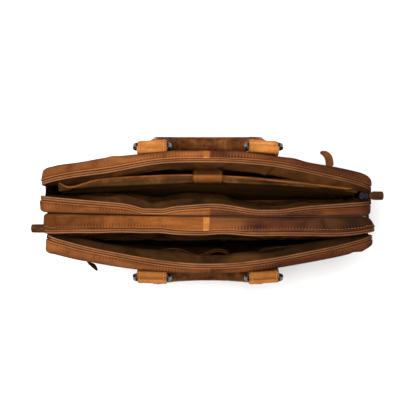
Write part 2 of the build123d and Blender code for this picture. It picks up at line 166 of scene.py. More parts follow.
class Edge:
    """A plan line y(x, z) taken from a CAD node's top and foot, with soft waves near the top.

    Each wave is its centre, width and rise, in millimetres.
    """

    def __init__(self, node, pick, waves=()):
        co = np.array([v.co for v in frame["nodes"][node].data.vertices])
        top = co[co[:, 2] > co[:, 2].max() - 0.2 * MM]
        beyond = top[:, 1] - np.polyval(np.polyfit(top[:, 0], top[:, 1], 2), top[:, 0])
        side = top[beyond > 0] if pick is max else top[beyond < 0]
        self.line = np.poly1d(np.polyfit(side[:, 0], side[:, 1], 4))
        low_z = co[:, 2].min()
        low = co[co[:, 2] < low_z + 0.2 * MM]
        share = low_z / TOP
        self.feet = []
        for sign in (-1, 1):
            y = pick(low[low[:, 0] * sign > low[:, 0].max() - 3 * MM][:, 1])
            self.feet.append((y - self.line(sign * HALF) * share) / (1 - share))
        self.waves = waves

    def at(self, x, z):
        share = z / TOP
        y = self.line(x) * share + np.where(x < 0, self.feet[0], self.feet[1]) * (1 - share)
        lift = smooth((z - (TOP - 44 * MM)) / (26 * MM))
        for centre, width, rise in self.waves:
            y = y + lift * rise * MM * bell(x, centre * MM, width * MM)
        return y


class Raised:
    """A plan line moved sideways by some millimetres."""

    def __init__(self, line, shift):
        self.line, self.shift = line, shift * MM

    def at(self, x, z):
        return self.line.at(x, z) + self.shift


class Flat:
    """A plan line at one y."""

    def __init__(self, y):
        self.y = y

    def at(self, x, z):
        return self.y + 0 * (x + z)


REAR_RIM = Edge("rear_panel", max, ((-190, 26, 4.5), (-203, 8, 2), (-135, 30, 1.5), (-119, 6, 1),
                                    (-44, 14, 0.9), (36, 16, 1.4), (107, 12, 1.6), (125, 40, -2.5)))
REAR_ZIP = Edge("rear_zip_coil", min, ((0, 90, -3.2), (-120, 50, -5), (140, 40, -1.5)))
CENTRE_REAR_ZIP = Edge("centre_rear_zip_coil", max, ((-70, 22, -6.5), (5, 30, 3.5), (78, 34, -4.5)))
CENTRE_FRONT_ZIP = Edge("centre_front_zip_coil", min, ((-205, 50, -12), (-140, 30, -2.5), (-60, 16, 1.6),
                                                       (20, 20, 2), (165, 45, -4.5)))
FRONT_ZIP = Edge("front_zip_coil", max, ((0, 60, -1.5), (-120, 50, 2), (125, 45, 1.5)))
FRONT_RIM = Edge("front_panel", min, ((-203, 9, -2.5), (-178, 26, -1.2), (120, 40, 1), (180, 4, 1),
                                      (191, 5, -1)))
SEAM = Edge("centre_rear_gusset", min)


class RimPath:
    """A gusset's run: up the left side, over the top and down the right side.

    In millimetres, left and right are how far the ends stand out, inset how far the whole run is drawn in,
    and flare how far the tape's side leans outward at either end.
    """

    def __init__(self, left=0.0, right=0.0, inset=0.0, flare=(0.0, 0.0)):
        side = TOP - CORNER - FLOOR
        arc = CORNER * math.pi / 2
        top = 2 * (HALF - CORNER)
        total = 2 * side + top + 2 * arc
        s = spread(0, total, int(total / STEP))
        turned_by = np.clip(s - side, 0, arc) + np.clip(s - side - arc - top, 0, arc)
        nx, nz = np.cos(math.pi - turned_by / CORNER), np.sin(math.pi - turned_by / CORNER)
        x_cad = CORNER - HALF + np.clip(s - side - arc, 0, top) + CORNER * nx
        z_cad = TOP - CORNER + CORNER * nz - np.maximum(side - s, 0) - np.maximum(s - total + side, 0)
        swell = smooth(z_cad / TOP) * smooth((np.abs(x_cad) / HALF - 0.6) / 0.4) * MM
        x = x_cad + np.where(x_cad < 0, -left, right) * swell
        flares = np.where(x < 0, -flare[0], flare[1]) * swell
        self.x, self.nz, self.z_cad, self.count = x - nx * inset * MM, nz, z_cad, len(s)
        self.arrays = (self.x, z_cad - nz * inset * MM, nx, nz, s, flares, x_cad, z_cad)

    def columns(self, rows=slice(None)):
        """x, z, the normal's x and z, the length, the flare and the CAD's x and z, each as a column."""
        return [values[rows][:, None] for values in self.arrays]

    def top_index(self, x):
        """The index on the top run that is nearest to x."""
        return int(np.argmin(np.where(self.nz > 0.9, np.abs(self.x - x), 1)))


# ---------------------------------------------------------------- meshes

def new_object(name, verts, faces, material, body, tone=None):
    """A mesh that rides on a body. tone, from -1 to 1 at each vertex, darkens or lightens its material."""
    mesh = bpy.data.meshes.new(name)
    mesh.from_pydata([tuple(v) for v in verts], [], faces)
    mesh.polygons.foreach_set("use_smooth", [True] * len(mesh.polygons))
    attribute = mesh.attributes.new("tone", "FLOAT", "POINT")
    if tone is not None:
        attribute.data.foreach_set("value", np.asarray(tone, np.float32).ravel())
    mesh.materials.append(material)
    mesh.update()
    piece = bpy.data.objects.new(name, mesh)
    bpy.context.scene.collection.objects.link(piece)
    if body:
        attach(piece, body)
    return piece


def shell(name, p, thickness, outward, material, body, tone=None):
    """A closed sheet of leather or cloth. p (m, n, 3) is its outer face, outward a rough direction."""
    m, n = p.shape[:2]
    normal = np.cross(np.gradient(p, axis=0), np.gradient(p, axis=1))
    normal /= np.maximum(np.linalg.norm(normal, axis=-1, keepdims=True), 1e-12)
    forward = (normal * outward).sum(-1).mean() > 0
    inner = p - (normal if forward else -normal) * thickness
    verts = np.concatenate([p.reshape(-1, 3), inner.reshape(-1, 3)])
    index = np.arange(m * n).reshape(m, n)
    a, b, c, d = index[:-1, :-1], index[1:, :-1], index[1:, 1:], index[:-1, 1:]
    outer = np.stack([a, b, c, d], -1).reshape(-1, 4)
    under = outer[:, ::-1] + m * n
    loop = np.concatenate([index[:-1, 0], index[-1, :-1], index[:0:-1, -1], index[0, :0:-1]])
    after = np.roll(loop, -1)
    wall = np.stack([after, loop, loop + m * n, after + m * n], -1)
    faces = np.concatenate([outer, under, wall])
    if not forward:
        faces = faces[:, ::-1]
    shade = None if tone is None else np.tile(np.broadcast_to(tone, (m, n)).ravel(), 2)
    return new_object(name, verts, faces.tolist(), material, body, shade)


def tube(name, rings, material, body, tone):
    """A closed skin over cross-sections: rings (m, n, 3), with both ends capped."""
    m, n = rings.shape[:2]
    verts = np.concatenate([rings.reshape(-1, 3), rings[:1].mean(1), rings[-1:].mean(1)])
    index = np.arange(m * n).reshape(m, n)
    nxt = np.roll(index, -1, axis=1)
    faces = np.stack([index[:-1], nxt[:-1], nxt[1:], index[1:]], -1).reshape(-1, 4).tolist()
    faces += [[m * n, int(b), int(a)] for a, b in zip(index[0], nxt[0])]
    faces += [[m * n + 1, int(a), int(b)] for a, b in zip(index[-1], nxt[-1])]
    volume = sum(np.dot(verts[f[0]], np.cross(verts[f[k]], verts[f[k + 1]]))
                 for f in faces for k in range(1, len(f) - 1))
    if volume < 0:
        faces = [f[::-1] for f in faces]
    return new_object(name, verts, faces, material, body,
                      np.concatenate([np.broadcast_to(tone, (m, n)).ravel(), [0, 0]]))


def rod(path, radii, side):
    """Vertices and quads of a six-sided rod along a path (m, 3), closed at both ends."""
    up = np.cross(unit(np.gradient(path, axis=0)), side)
    angles = np.arange(6) * math.pi / 3
    verts = np.concatenate([p + r * (np.cos(angles)[:, None] * side + np.sin(angles)[:, None] * u)
                            for p, r, u in zip(path, radii, up)])
    last = (len(path) - 1) * 6
    faces = [[i + j, i + (j + 1) % 6, i + 6 + (j + 1) % 6, i + 6 + j]
             for i in range(0, last, 6) for j in range(6)]
    for base, order in ((0, -1), (last, 1)):
        faces += [[base + q for q in quad][::order] for quad in ((0, 1, 2, 3), (0, 3, 4, 5))]
    return verts, faces


def frames_on(line, normals, pitch):
    """Origins and own x, y and z directions every `pitch` along a dense polyline (n, 3) on a surface."""
    s = lengths(line)
    index = np.arange(len(line))
    where = np.interp(np.arange(pitch / 2, s[-1], pitch), s, index)

    def at(values, places):
        return np.stack([np.interp(places, index, column) for column in values.T], -1)

    tangent = unit(at(line, np.minimum(where + 0.5, index[-1])) - at(line, np.maximum(where - 0.5, 0)))
    n = at(normals, where)
    n = unit(n - (n * tangent).sum(1, keepdims=True) * tangent)
    return at(line, where), np.stack([tangent, np.cross(n, tangent), n], axis=1)


def copies(name, template, lines, pitch, material, body):
    """One mesh of many copies of a template, every `pitch` along lines. Each line comes with its normals."""
    verts, faces = template
    placed = [frames_on(np.asarray(line), np.asarray(normals), pitch) for line, normals in lines]
    origins, axes = (np.concatenate(part) for part in zip(*placed))
    everywhere = origins[:, None, :] + np.einsum("tj,kji->kti", verts, axes)
    all_faces = np.array(faces)[None] + np.arange(len(origins))[:, None, None] * len(verts)
    return new_object(name, everywhere.reshape(-1, 3), all_faces.reshape(-1, 4).tolist(), material, body)


# A stitch's points along its thread: distance, rise and radius, in millimetres.
WIDE_STITCH = ((-1.35, -0.35, 0.22), (-1.08, 0.1, 0.34), (-0.405, 0.32, 0.4),
               (0.405, 0.32, 0.4), (1.08, 0.1, 0.34), (1.35, -0.35, 0.22))
FINE_STITCH = ((-0.95, -0.2, 0.15), (-0.57, 0.15, 0.26), (0.57, 0.15, 0.26), (0.95, -0.2, 0.15))


def stitches(name, lines, material, body, shape=WIDE_STITCH, pitch=STITCH_PITCH):
    """Rows of thread. lines is a list of (line, normals) pairs on a surface."""
    along, rise, radius = mm(*shape).T
    template = rod(points(along, 0.0, rise), radius, np.array([0.0, 1.0, 0.0]))
    return copies(name, template, lines, pitch, material, body)


def fine_stitches(name, lines, material, body):
    return stitches(name, lines, material, body, FINE_STITCH, 2.7 * MM)


def teeth(name, line, normals, body, pitch=2.1 * MM):
    """A moulded zip coil: a loop every pitch. Normals point up from the tape, loops reach sideways."""
    angles = spread(-0.9, math.pi + 0.9, 9)
    loop = points(0.25 * np.cos(2 * angles), 1.15 * np.cos(angles), 0.75 * np.sin(angles)) * MM
    template = rod(loop, mm(*[0.5] * 9), np.array([1.0, 0, 0]))
    return copies(name, template, [(line, normals)], pitch, COIL, body)


# ---------------------------------------------------------------- materials

def srgb(r, g, b):
    return tuple((c / 255 / 12.92) if c / 255 <= 0.04045 else ((c / 255 + 0.055) / 1.055) ** 2.4
                 for c in (r, g, b)) + (1.0,)


def dimmed(colour, share):
    return tuple(c * share for c in colour[:3]) + (1.0,)


class Shader:
    """A small helper around one material's node tree."""

    def __init__(self, name):
        self.material = bpy.data.materials.new(name)
        self.material.use_nodes = True
        self.tree = self.material.node_tree
        self.tree.nodes.clear()
        output = self.add("ShaderNodeOutputMaterial")
        self.surface = self.add("ShaderNodeBsdfPrincipled")
        self.tree.links.new(self.surface.outputs[0], output.inputs[0])
        self.place = self.add("ShaderNodeTexCoord").outputs["Object"]

    def put(self, socket, value):
        if isinstance(value, bpy.types.NodeSocket):
            self.tree.links.new(value, socket)
        else:
            socket.default_value = value

    def add(self, kind, inputs=None, **settings):
        """A node with its settings, and values or other nodes' outputs for its inputs."""
        node = self.tree.nodes.new(kind)
        for key, value in settings.items():
            setattr(node, key, value)
        for key, value in (inputs or {}).items():
            self.put(node.inputs[key], value)
        return node

    def moved(self, scale=(1, 1, 1), shift=(0, 0, 0)):
        inputs = {"Vector": self.place, "Scale": scale, "Location": shift}
        return self.add("ShaderNodeMapping", inputs).outputs[0]

    def noise(self, vector, scale, detail=3.0, roughness=0.55, distortion=0.0, kind="FBM"):
        inputs = {"Vector": vector, "Scale": scale, "Detail": detail, "Roughness": roughness,
                  "Distortion": distortion}
        return self.add("ShaderNodeTexNoise", inputs, noise_type=kind).outputs["Fac"]

    def cells(self, vector, scale, feature="F1"):
        inputs = {"Vector": vector, "Scale": scale}
        return self.add("ShaderNodeTexVoronoi", inputs, feature=feature).outputs["Distance"]

    def bands(self, vector, scale, distortion, direction):
        inputs = {"Vector": vector, "Scale": scale, "Distortion": distortion, "Detail": 1.0}
        return self.add("ShaderNodeTexWave", inputs, wave_type="BANDS",
                        bands_direction=direction).outputs["Fac"]

    def ramp(self, fac, *stops):
        node = self.add("ShaderNodeValToRGB", {"Fac": fac})
        marks = node.color_ramp.elements
        while len(marks) < len(stops):
            marks.new(0.5)
        for mark, (place, colour) in zip(marks, stops):
            mark.position = place
            mark.color = colour
        return node.outputs["Color"]

    def level(self, fac, low, high, to_low=0.0, to_high=1.0):
        inputs = {"Value": fac, "From Min": low, "From Max": high, "To Min": to_low, "To Max": to_high}
        return self.add("ShaderNodeMapRange", inputs).outputs["Result"]

    def mix(self, fac, a, b, blend="MIX"):
        node = self.add("ShaderNodeMix", data_type="RGBA", blend_type=blend)
        for socket, value in zip([s for s in node.inputs if s.enabled], (fac, a, b)):
            self.put(socket, value)
        return [s for s in node.outputs if s.enabled][0]

    def maths(self, operation, a, b):
        return self.add("ShaderNodeMath", {0: a, 1: b}, operation=operation).outputs[0]

    def bump(self, height, strength, depth, before=None):
        """A bump, depth in millimetres, on top of the normal before it."""
        inputs = {"Height": height, "Strength": strength, "Distance": depth * MM}
        if before is not None:
            inputs["Normal"] = before
        return self.add("ShaderNodeBump", inputs).outputs[0]

    def toned(self, colour, dark, light):
        """The colour, turned dark where a piece's tone falls below 0 and light where it rises above."""
        tone = self.add("ShaderNodeAttribute", attribute_name="tone").outputs["Fac"]
        colour = self.mix(self.level(tone, 0.0, -1.0), colour, dark)
        return self.mix(self.level(tone, 0.0, 1.0), colour, light)

    def finish(self, colour, roughness, normal, specular=None, metallic=None):
        inputs = {"Base Color": colour, "Roughness": roughness, "Normal": normal,
                  "Specular IOR Level": specular, "Metallic": metallic}
        for key, value in inputs.items():
            if value is not None:
                self.put(self.surface.inputs[key], value)
        return self.material


def leather(name, dark, base, light, patch=16.0, shift=0.0, shine=0.42, grain=1.0):
    """Waxed pull-up leather: cloudy colour, pores and fine creases. A piece's tone darkens it, as painted
    shade in folds, grooves and away from the light, and pales it, as painted highlight on lips and as worn
    patches.
    """
    s = Shader(name)
    place = s.moved(shift=(shift, shift * 0.7, shift * 1.3))
    cloud = s.noise(place, patch, 6.0, 0.6, 0.8)
    streak = s.noise(s.moved((0.16, 1, 1), (shift, 0, 0)), patch * 5.0, 4.0, 0.6, 0.6)
    mottle = s.noise(place, 260.0, 3.0, 0.65)
    both = s.maths("ADD", s.maths("MULTIPLY", cloud, 0.5), s.maths("MULTIPLY", streak, 0.5))
    colour = s.ramp(both, (0.36, dark), (0.5, base), (0.64, light))
    speck = s.level(mottle, 0.3, 0.7, 0.82, 1.12)
    colour = s.mix(1.0, colour, s.ramp(speck, (0.0, (0, 0, 0, 1)), (1.0, (1, 1, 1, 1))), "MULTIPLY")
    colour = s.toned(colour, dimmed(dark, 0.28), s.mix(0.5, light, srgb(198, 126, 64)))
    folds = s.noise(place, 75.0, 4.0, 0.6, 1.2, "RIDGED_MULTIFRACTAL")
    pores = s.cells(place, 1050.0, "SMOOTH_F1")
    normal = s.bump(folds, 0.16 * grain, 0.9)
    normal = s.bump(s.cells(place, 520.0), 0.30 * grain, 0.35, normal)
    normal = s.bump(pores, 0.35 * grain, 0.18, normal)
    gloss = s.level(both, 0.35, 0.7, shine + 0.12, shine - 0.06)
    gloss = s.maths("ADD", gloss, s.level(pores, 0.0, 0.6, 0.1, -0.02))
    return s.finish(colour, gloss, normal, 0.03)


def cloth(name, dark, base, light, shift=0.0):
    """Cotton twill: crossed thread directions, slubs and soft shading in the folds."""
    s = Shader(name)
    place = s.moved(shift=(shift, 0, 0))
    cloud = s.noise(place, 22.0, 4.0, 0.6, 0.5)
    colour = s.ramp(cloud, (0.34, dark), (0.52, base), (0.68, light))
    weave = 900.0 / 6.28
    across, along, through = (s.bands(place, weave * ratio, 0.6, direction)
                              for direction, ratio in (("X", 1.0), ("Z", 1.0), ("Y", 0.8)))
    weft = s.maths("MAXIMUM", s.maths("MAXIMUM", across, along), through)
    colour = s.mix(s.level(weft, 0.2, 1.0, 0.35, 0.0), colour, dark)
    colour = s.toned(colour, dimmed(dark, 0.42), light)
    slub = s.noise(s.moved((1, 1, 6), (shift, 0, 0)), 160.0, 3.0)
    normal = s.bump(weft, 0.5, 0.12, s.bump(slub, 0.3, 0.5))
    return s.finish(colour, 0.85, normal, 0.03)


def zip_cloth(name, base, light):
    """Woven zip tape: a fine herringbone with a waxy sheen."""
    s = Shader(name)
    colour = s.ramp(s.noise(s.place, 40.0, 4.0, 0.6, 0.3), (0.35, base), (0.65, light))
    herringbone = s.bands(s.place, 160.0, 1.0, "DIAGONAL")
    colour = s.toned(colour, dimmed(base, 0.22), srgb(160, 105, 62))
    return s.finish(colour, 0.6, s.bump(herringbone, 0.35, 0.15), 0.05)


def metal(name, base, worn, roughness=0.3, wear=0.5):
    """Plated metal, scratched and rubbed brighter in places."""
    s = Shader(name)
    cloud = s.noise(s.place, 180.0, 5.0, 0.7, 0.5)
    colour = s.ramp(cloud, (wear, base), (min(1.0, wear + 0.25), worn))
    scratch = s.noise(s.moved((1, 9, 1)), 600.0, 3.0, 0.7)
    gloss = s.level(scratch, 0.3, 0.7, roughness - 0.06, roughness + 0.16)
    return s.finish(colour, gloss, s.bump(scratch, 0.12, 0.05), metallic=1.0)


def thread(name, base):
    """Waxed thread with a twist."""
    s = Shader(name)
    twist = s.noise(s.place, 900.0, 2.0)
    colour = s.ramp(twist, (0.3, dimmed(base, 0.6)), (0.7, base))
    return s.finish(colour, 0.7, s.bump(twist, 0.4, 0.1), 0.05)


def board(name, base):
    """Fibre board and filler: plain, slightly mottled."""
    s = Shader(name)
    fleck = s.noise(s.place, 300.0, 4.0, 0.7)
    normal = s.bump(fleck, 0.3, 0.2)
    return s.finish(s.ramp(fleck, (0.3, dimmed(base, 0.6)), (0.7, base)), 0.85, normal, 0.1)


TAN = leather("tan_leather", srgb(124, 70, 29), srgb(160, 99, 45), srgb(188, 124, 62), 22.0, 0.3, 0.5, 0.7)
BAND_TAN = leather("band_leather_tan", srgb(76, 39, 13), srgb(107, 58, 21), srgb(131, 76, 31), 14.0, 1.1,
                   0.52)
BAND = leather("band_leather", srgb(63, 32, 13), srgb(95, 53, 24), srgb(121, 70, 35), 13.0, 2.3, 0.54)
# On the right halves of the gussets this darker leather is partly a darker cut and partly painted shade, for
# light that falls from the left.
BAND_DARK = leather("band_leather_dark", srgb(44, 21, 9), srgb(74, 37, 17), srgb(101, 55, 26), 12.0, 3.7,
                    0.52)
PANEL = leather("panel_leather", srgb(66, 34, 15), srgb(100, 56, 26), srgb(127, 75, 37), 9.0, 4.9, 0.5)
HANDLE = leather("handle_leather", srgb(52, 28, 12), srgb(89, 49, 22), srgb(122, 72, 35), 24.0, 5.3, 0.46)
PULL = leather("pull_leather", srgb(34, 17, 7), srgb(56, 30, 13), srgb(78, 45, 20), 40.0, 6.1, 0.5)
STRAP = leather("strap_leather", srgb(72, 35, 13), srgb(98, 53, 22), srgb(118, 69, 32), 30.0, 7.7, 0.46, 0.7)
LINING = cloth("lining_twill", srgb(50, 28, 11), srgb(78, 45, 18), srgb(102, 61, 28))
# The next two are darker copies of the one lining twill: painted shade for the compartments, pockets and side
# gores that get less light. The darker one's light colour is painted light low down in the centre-front
# compartment.
LINING_HALF_SHADED = cloth("lining_twill_half_shaded", srgb(40, 24, 10), srgb(62, 37, 16), srgb(82, 50, 23), 2.9)
LINING_SHADED = cloth("lining_twill_shaded", srgb(30, 18, 8), srgb(48, 30, 14), srgb(100, 65, 34), 0.7)
DIVIDER = cloth("divider_twill", srgb(43, 27, 11), srgb(68, 43, 19), srgb(110, 73, 37), 1.9)
ZIP_TAPE = zip_cloth("zip_tape", srgb(89, 53, 30), srgb(111, 69, 42))
COIL = board("zip_coil", srgb(74, 44, 26))
BLACK_METAL = metal("blackened_metal", srgb(16, 16, 19), srgb(56, 57, 66), 0.34, 0.6)
GUNMETAL = metal("gunmetal", srgb(38, 35, 34), srgb(140, 134, 128), 0.26, 0.6)
ANTIQUE = metal("antique_metal", srgb(84, 74, 58), srgb(184, 168, 138))
THREAD = thread("waxed_thread", srgb(140, 88, 46))
THREAD_DARK = thread("waxed_thread_dark", srgb(98, 56, 28))
THREAD_PALE = thread("waxed_thread_pale", srgb(196, 142, 84))
BOARD = board("fibre_board", srgb(60, 56, 50))
HOOK = board("hook_tape", srgb(28, 20, 14))


# ---------------------------------------------------------------- gussets

def band_profile(width, radius):
    """Distance from the outer edge and rise, across a gusset: skirt, rounded shoulder, flat, folded lip."""
    radius = np.minimum(radius, width * 0.6)
    down = np.array([1.0, 0.65, 0.3])
    angle = spread(0, math.pi / 2, 6)
    t = spread(0, 1, 17)[1:]
    a = (0 * width + mm(0.0, -0.15, -0.1), radius * (1 - np.cos(angle)), radius + (width - radius) * t,
         width + mm(0.15, -0.1))
    d = (-radius - SKIRT * down, -radius * (1 - np.sin(angle)), 0 * width * t, 0 * width + mm(-0.7, -1.6))
    return np.concatenate(a, 1), np.concatenate(d, 1)


def drift(x, fade):
    """A slow change of tone along the bag: at its left end, just right of the middle and at its right end.
    The darker right end is partly a darker leather and partly painted shade, for light that falls from the
    left.
    """
    left, bump, right = fade
    return np.where(x < 0, left, right) * smooth(np.abs(x) / HALF) + bump * bell(x, 25 * MM, 60 * MM)


def sag(s, z, seed):
    """Slow rises and dips along a rim. The leather and its zip tape share them."""
    return 1.3 * MM * noise(points(s, 0.0, seed), 90 * MM, seed + 5) * smooth((z / TOP - 0.5) / 0.4)


def gusset_band(name, gusset, material, rows, lift=0.0, fade=(0.0, 0.0, 0.0)):
    """A stretch of a gusset in leather, lift millimetres higher. Returns the piece and its stitch line."""
    path, outer, inner, toward, radii, body, seed = gusset
    x, z, nx, nz, s, flare, x_cad, z_cad = path.columns(rows)
    y0 = outer.at(x_cad, z_cad)
    width = np.maximum(np.abs(inner.at(x_cad, z_cad) - y0) - TAPE, SLIMMEST)
    top, left, right = mm(*radii)
    shoulder = top + (np.where(x > 0, right, left) - top) * smooth((0.95 - nz) / 0.75)
    a, d = band_profile(width, shoulder)
    mark = points(s, a, seed)
    row = width - 2.5 * MM
    active = smooth(noise(points(s, 0.0, seed), 34 * MM, seed + 3) * 1.6 + 0.55)
    pucker = np.sin(2 * math.pi * s / STITCH_PITCH) * active * np.minimum(1.0, width / (9 * MM))
    gathers = pucker * bell(a, row - 1.9 * MM, 2.1 * MM)
    flat = smooth(a / (4 * MM)) * smooth((width + 0.2 * MM - a) / (2.5 * MM))
    fold = creases(mark * (1.0, 0.55, 1.0), 42 * MM, seed + 11) ** 4
    rise = -0.3 * bell(a, row, 0.8 * MM) + 0.42 * gathers + 0.45 * bell(a, width - 0.9 * MM, 0.9 * MM)
    rise += flat * (0.9 * rough(mark, 26 * MM, seed) - 0.7 * fold) + lift
    h = d + rise * MM + sag(s, z, seed)
    # The tone is painted light and shade: shade in the stitch groove, in the folds, past the shoulder and
    # under the folded lip, highlight on the lip and on the puckers. The outer gussets' skirts get less of the
    # shoulder's shade.
    tone = -0.30 * bell(a, row, 0.55 * MM) + 0.35 * bell(a, width - 0.7 * MM, 0.7 * MM) + 0.30 * gathers
    tone -= 0.28 * flat * fold + 0.75 * smooth((-d - 1.2 * MM) / (2.6 * MM))
    if body != "base":
        tone += 0.5 * smooth((-d - shoulder) / (2 * MM))
    tone = np.where(a > width + 0.05 * MM, -0.8, tone) + drift(x, fade)
    p = points(x + nx * h + flare * np.clip(a / width, 0, 1), y0 + toward * a, z + nz * h)
    up = points(nx, 0.0, nz)
    outward = up * np.where(np.arange(p.shape[1]) < 3, 0.2, 1.0)[None, :, None]
    piece = shell(name, p, LEATHER, outward, material, body, tone)
    nearest = np.argmin(np.abs(a - row) + (d < -0.5 * MM), 1)
    up = up[:, 0]
    return piece, (p[np.arange(len(p)), nearest] + up * 0.15 * MM, up)


# Across the zip tape that shows: millimetres past the leather's lip, rise and tone. Two ribs and a curl.
# The tone is painted shade under the lip, in the groove and round the curl, and painted highlight on the
# ribs.
TAPE_PROFILE = ((-1.6, -1.7, -1.0), (-0.2, -1.5, -1.0), (0.5, -1.2, -1.0), (1.1, -0.4, -0.1),
                (1.9, -0.1, 0.1), (2.7, -0.25, -0.05), (3.2, -0.9, -0.8), (3.6, -0.95, -0.85),
                (3.95, -0.3, 0.0), (4.5, 0.05, 0.25), (5.1, -0.05, 0.3), (5.5, -0.6, 0.0),
                (5.6, -1.4, -0.5), (5.3, -2.4, -0.9), (4.7, -3.2, -1.0))


def zip_tape(name, gusset, tape_node, coil_node):
    path, outer, inner, toward, _, body, seed = gusset
    x, z, nx, nz, s, flare, x_cad, z_cad = path.columns(path.z_cad >= ZIP_FOOT)
    y0 = outer.at(x_cad, z_cad)
    width = np.maximum(np.abs(inner.at(x_cad, z_cad) - y0) - TAPE, SLIMMEST)
    start = y0 + toward * width
    sway = 0.5 * MM * noise(points(s, 0.0, seed), 40 * MM, seed)
    rise = sag(s, z, seed)
    a, d, tone = np.array(TAPE_PROFILE).T
    h = d * MM + rise
    p = points(x + nx * h + flare, start + toward * (a * MM + sway * (a > 0.5)), z + nz * h)
    up = points(nx, 0.0, nz)
    # Darker towards the right end: painted shade, for light that falls from the left.
    tape = shell(name + "_woven", p, 0.6 * MM, up, ZIP_TAPE, body, tone - 0.45 * smooth(x / HALF))
    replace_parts(tape, tape_node)
    # The coil is tucked under the tape, apart from two short stretches of the front zip.
    on_front = (toward > 0) & (y0 < SEAM.at(x, z) - 20 * MM) & (nz > 0.9)
    shown = np.where(on_front, bell(x, -52 * MM, 14 * MM) + bell(x, 31 * MM, 14 * MM), 0.0)
    h = rise - (2.0 - 2.1 * shown) * MM
    line = points(x + nx * h + flare, start + toward * (5.0 + 1.1 * shown) * MM, z + nz * h)[:, 0]
    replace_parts(teeth(name + "_teeth", line, up[:, 0] * 0.35 + (0, toward, 0), body), coil_node)


def build_gussets():
    # Name, run, outer and inner lines, y sense, radii on top, left and right, body, seed, leather and fade.
    gussets = (
        ("rear", RimPath(0.5, 0.5, 0.0, (3, 0)), Raised(REAR_RIM, 0.8), REAR_ZIP, -1, (4.5, 3.5, 8),
         "rear_shell", 1.0, BAND, (0.1, 0.15, -0.3)),
        ("centre_rear", RimPath(4.5, -0.5, 1.2, (1, 0)), Raised(SEAM, 0.6), CENTRE_REAR_ZIP, 1, (3.5, 5, 5),
         "base", 2.0, BAND, (-0.1, 0.0, -0.3)),
        ("centre_front", RimPath(0.5, -1.5, 0.4, (0, 6.5)), Raised(SEAM, -0.7), CENTRE_FRONT_ZIP, -1,
         (3.5, 5, 7), "base", 3.0, BAND_TAN, (-0.5, 0.2, -0.8)),
        ("front", RimPath(-1.5, 1.5, 0.8, (-1, 0)), Raised(FRONT_RIM, -0.8), FRONT_ZIP, 1, (4.5, 4.5, 6),
         "front_shell", 4.0, BAND, (-0.1, 0.0, -0.3)))
    for name, *gusset, left, fade in gussets:
        path, body = gusset[0], gusset[5]
        joint = path.top_index(1 * MM)
        start = name + "_gusset"
        piece, over = gusset_band(start + "_left", gusset, left, slice(0, joint + 3), 0.55, fade)
        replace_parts(piece, start)
        # The right half: partly a darker leather, partly painted shade for light that falls from the left.
        _, under = gusset_band(start + "_right", gusset, BAND_DARK, slice(joint - 4, None), 0.0, fade)
        if name in ("rear", "centre_front"):
            gusset_band(start + "_patch", gusset, TAN, slice(joint - 5, joint + 2), 1.1, (0.0, -0.28, 0.0))
        stitches(start + "_stitching", [over, under], THREAD if name == "centre_front" else THREAD_DARK, body)
        zip_tape(name + "_zip", gusset, name + "_zip_tape", name + "_zip_coil")
    build_seam_welt(RimPath(inset=2.4))


def build_seam_welt(path):
    """The folded leather down in the groove where the two centre halves are sewn together, in its darkest
    tone as painted shade of the groove.
    """
    a, d = mm((-4, -3), (-2, -0.6), (0, -1.4), (2, -0.6), (4, -3)).T
    x, z, nx, nz, _, _, x_cad, z_cad = path.columns()
    p = points(x + nx * d, SEAM.at(x_cad, z_cad) + a, z + nz * d)
    welt = shell("centre_seam_welt", p, 1.2 * MM, points(nx, 0.0, nz), BAND_DARK, "base", -1.0)


# ---------------------------------------------------------------- panels, base, linings

def panel_points(rim, outward, zip_z, seed):
    """The bowed face of a shell, just inside the CAD's, with soft waves except along the pocket zip."""
    half = HALF - 5 * MM
    round_off = 7 * MM
    u = spread(-1, 1, 170)[:, None]
    v = spread(0, 1, 130)[None, :]
    x = u * half
    over = np.clip((np.abs(x) - (half - round_off)) / round_off, 0, 1)
    crown = TOP - 6 * MM - round_off * (1 - np.sqrt(1 - over ** 2))
    z = FLOOR + (crown - FLOOR) * v
    p = points(x, rim.at(x, z) - outward * 0.5 * MM, z)
    free = smooth((1 - np.abs(u)) / 0.10) * smooth(v / 0.10) * smooth((1 - v) / 0.08)
    fold = creases(p * (1, 1, 0.6), 95 * MM, seed + 9) ** 5
    wave = 1.9 * rough(p, 120 * MM, seed) + 0.5 * rough(p, 22 * MM, seed + 4, 2) - 1.1 * fold
    swell = 3.0 * np.sin(math.pi * v) * (1 - u ** 2)
    p[..., 1] += outward * (wave * (1 - bell(z, zip_z, 24 * MM)) + swell) * free * MM
    # The tone darkens the folds: painted shade.
    return p, -0.35 * fold * free


def build_panels():
    for name, rim, outward, seed in (("rear", REAR_RIM, 1, 21.0), ("front", FRONT_RIM, -1, 33.0)):
        low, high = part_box(name + "_pocket_zip")
        p, tone = panel_points(rim, outward, (low.z + high.z) / 2, seed)
        piece = shell(name + "_panel_leather", p, 1.8 * MM, (0, outward, 0), PANEL, name + "_shell", tone)
        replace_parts(piece, name + "_panel")


def build_base():
    """Leather base with edges that turn up slightly, over its CAD box."""
    _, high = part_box("base_panel")
    turn_up = 4 * MM
    x = spread(-1, 1, 120)[:, None] * (high.x - 0.4 * MM)
    y = spread(-1, 1, 44)[None, :] * (high.y - 0.4 * MM)
    edge = np.maximum(smooth((np.abs(x) - high.x) / turn_up + 1),
                      smooth((np.abs(y) - high.y) / turn_up + 1))
    mottle = 1 + rough(points(x, y, 0.0), 30 * MM, 5.0, 2)
    z = np.maximum(0.1 + 1.6 * edge + 0.25 * mottle * (1 - edge), 0.0) * MM
    piece = shell("base_leather", points(x, y, z), 1.8 * MM, (0, 0, -1.0), PANEL, "base")
    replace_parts(piece, "base_panel")


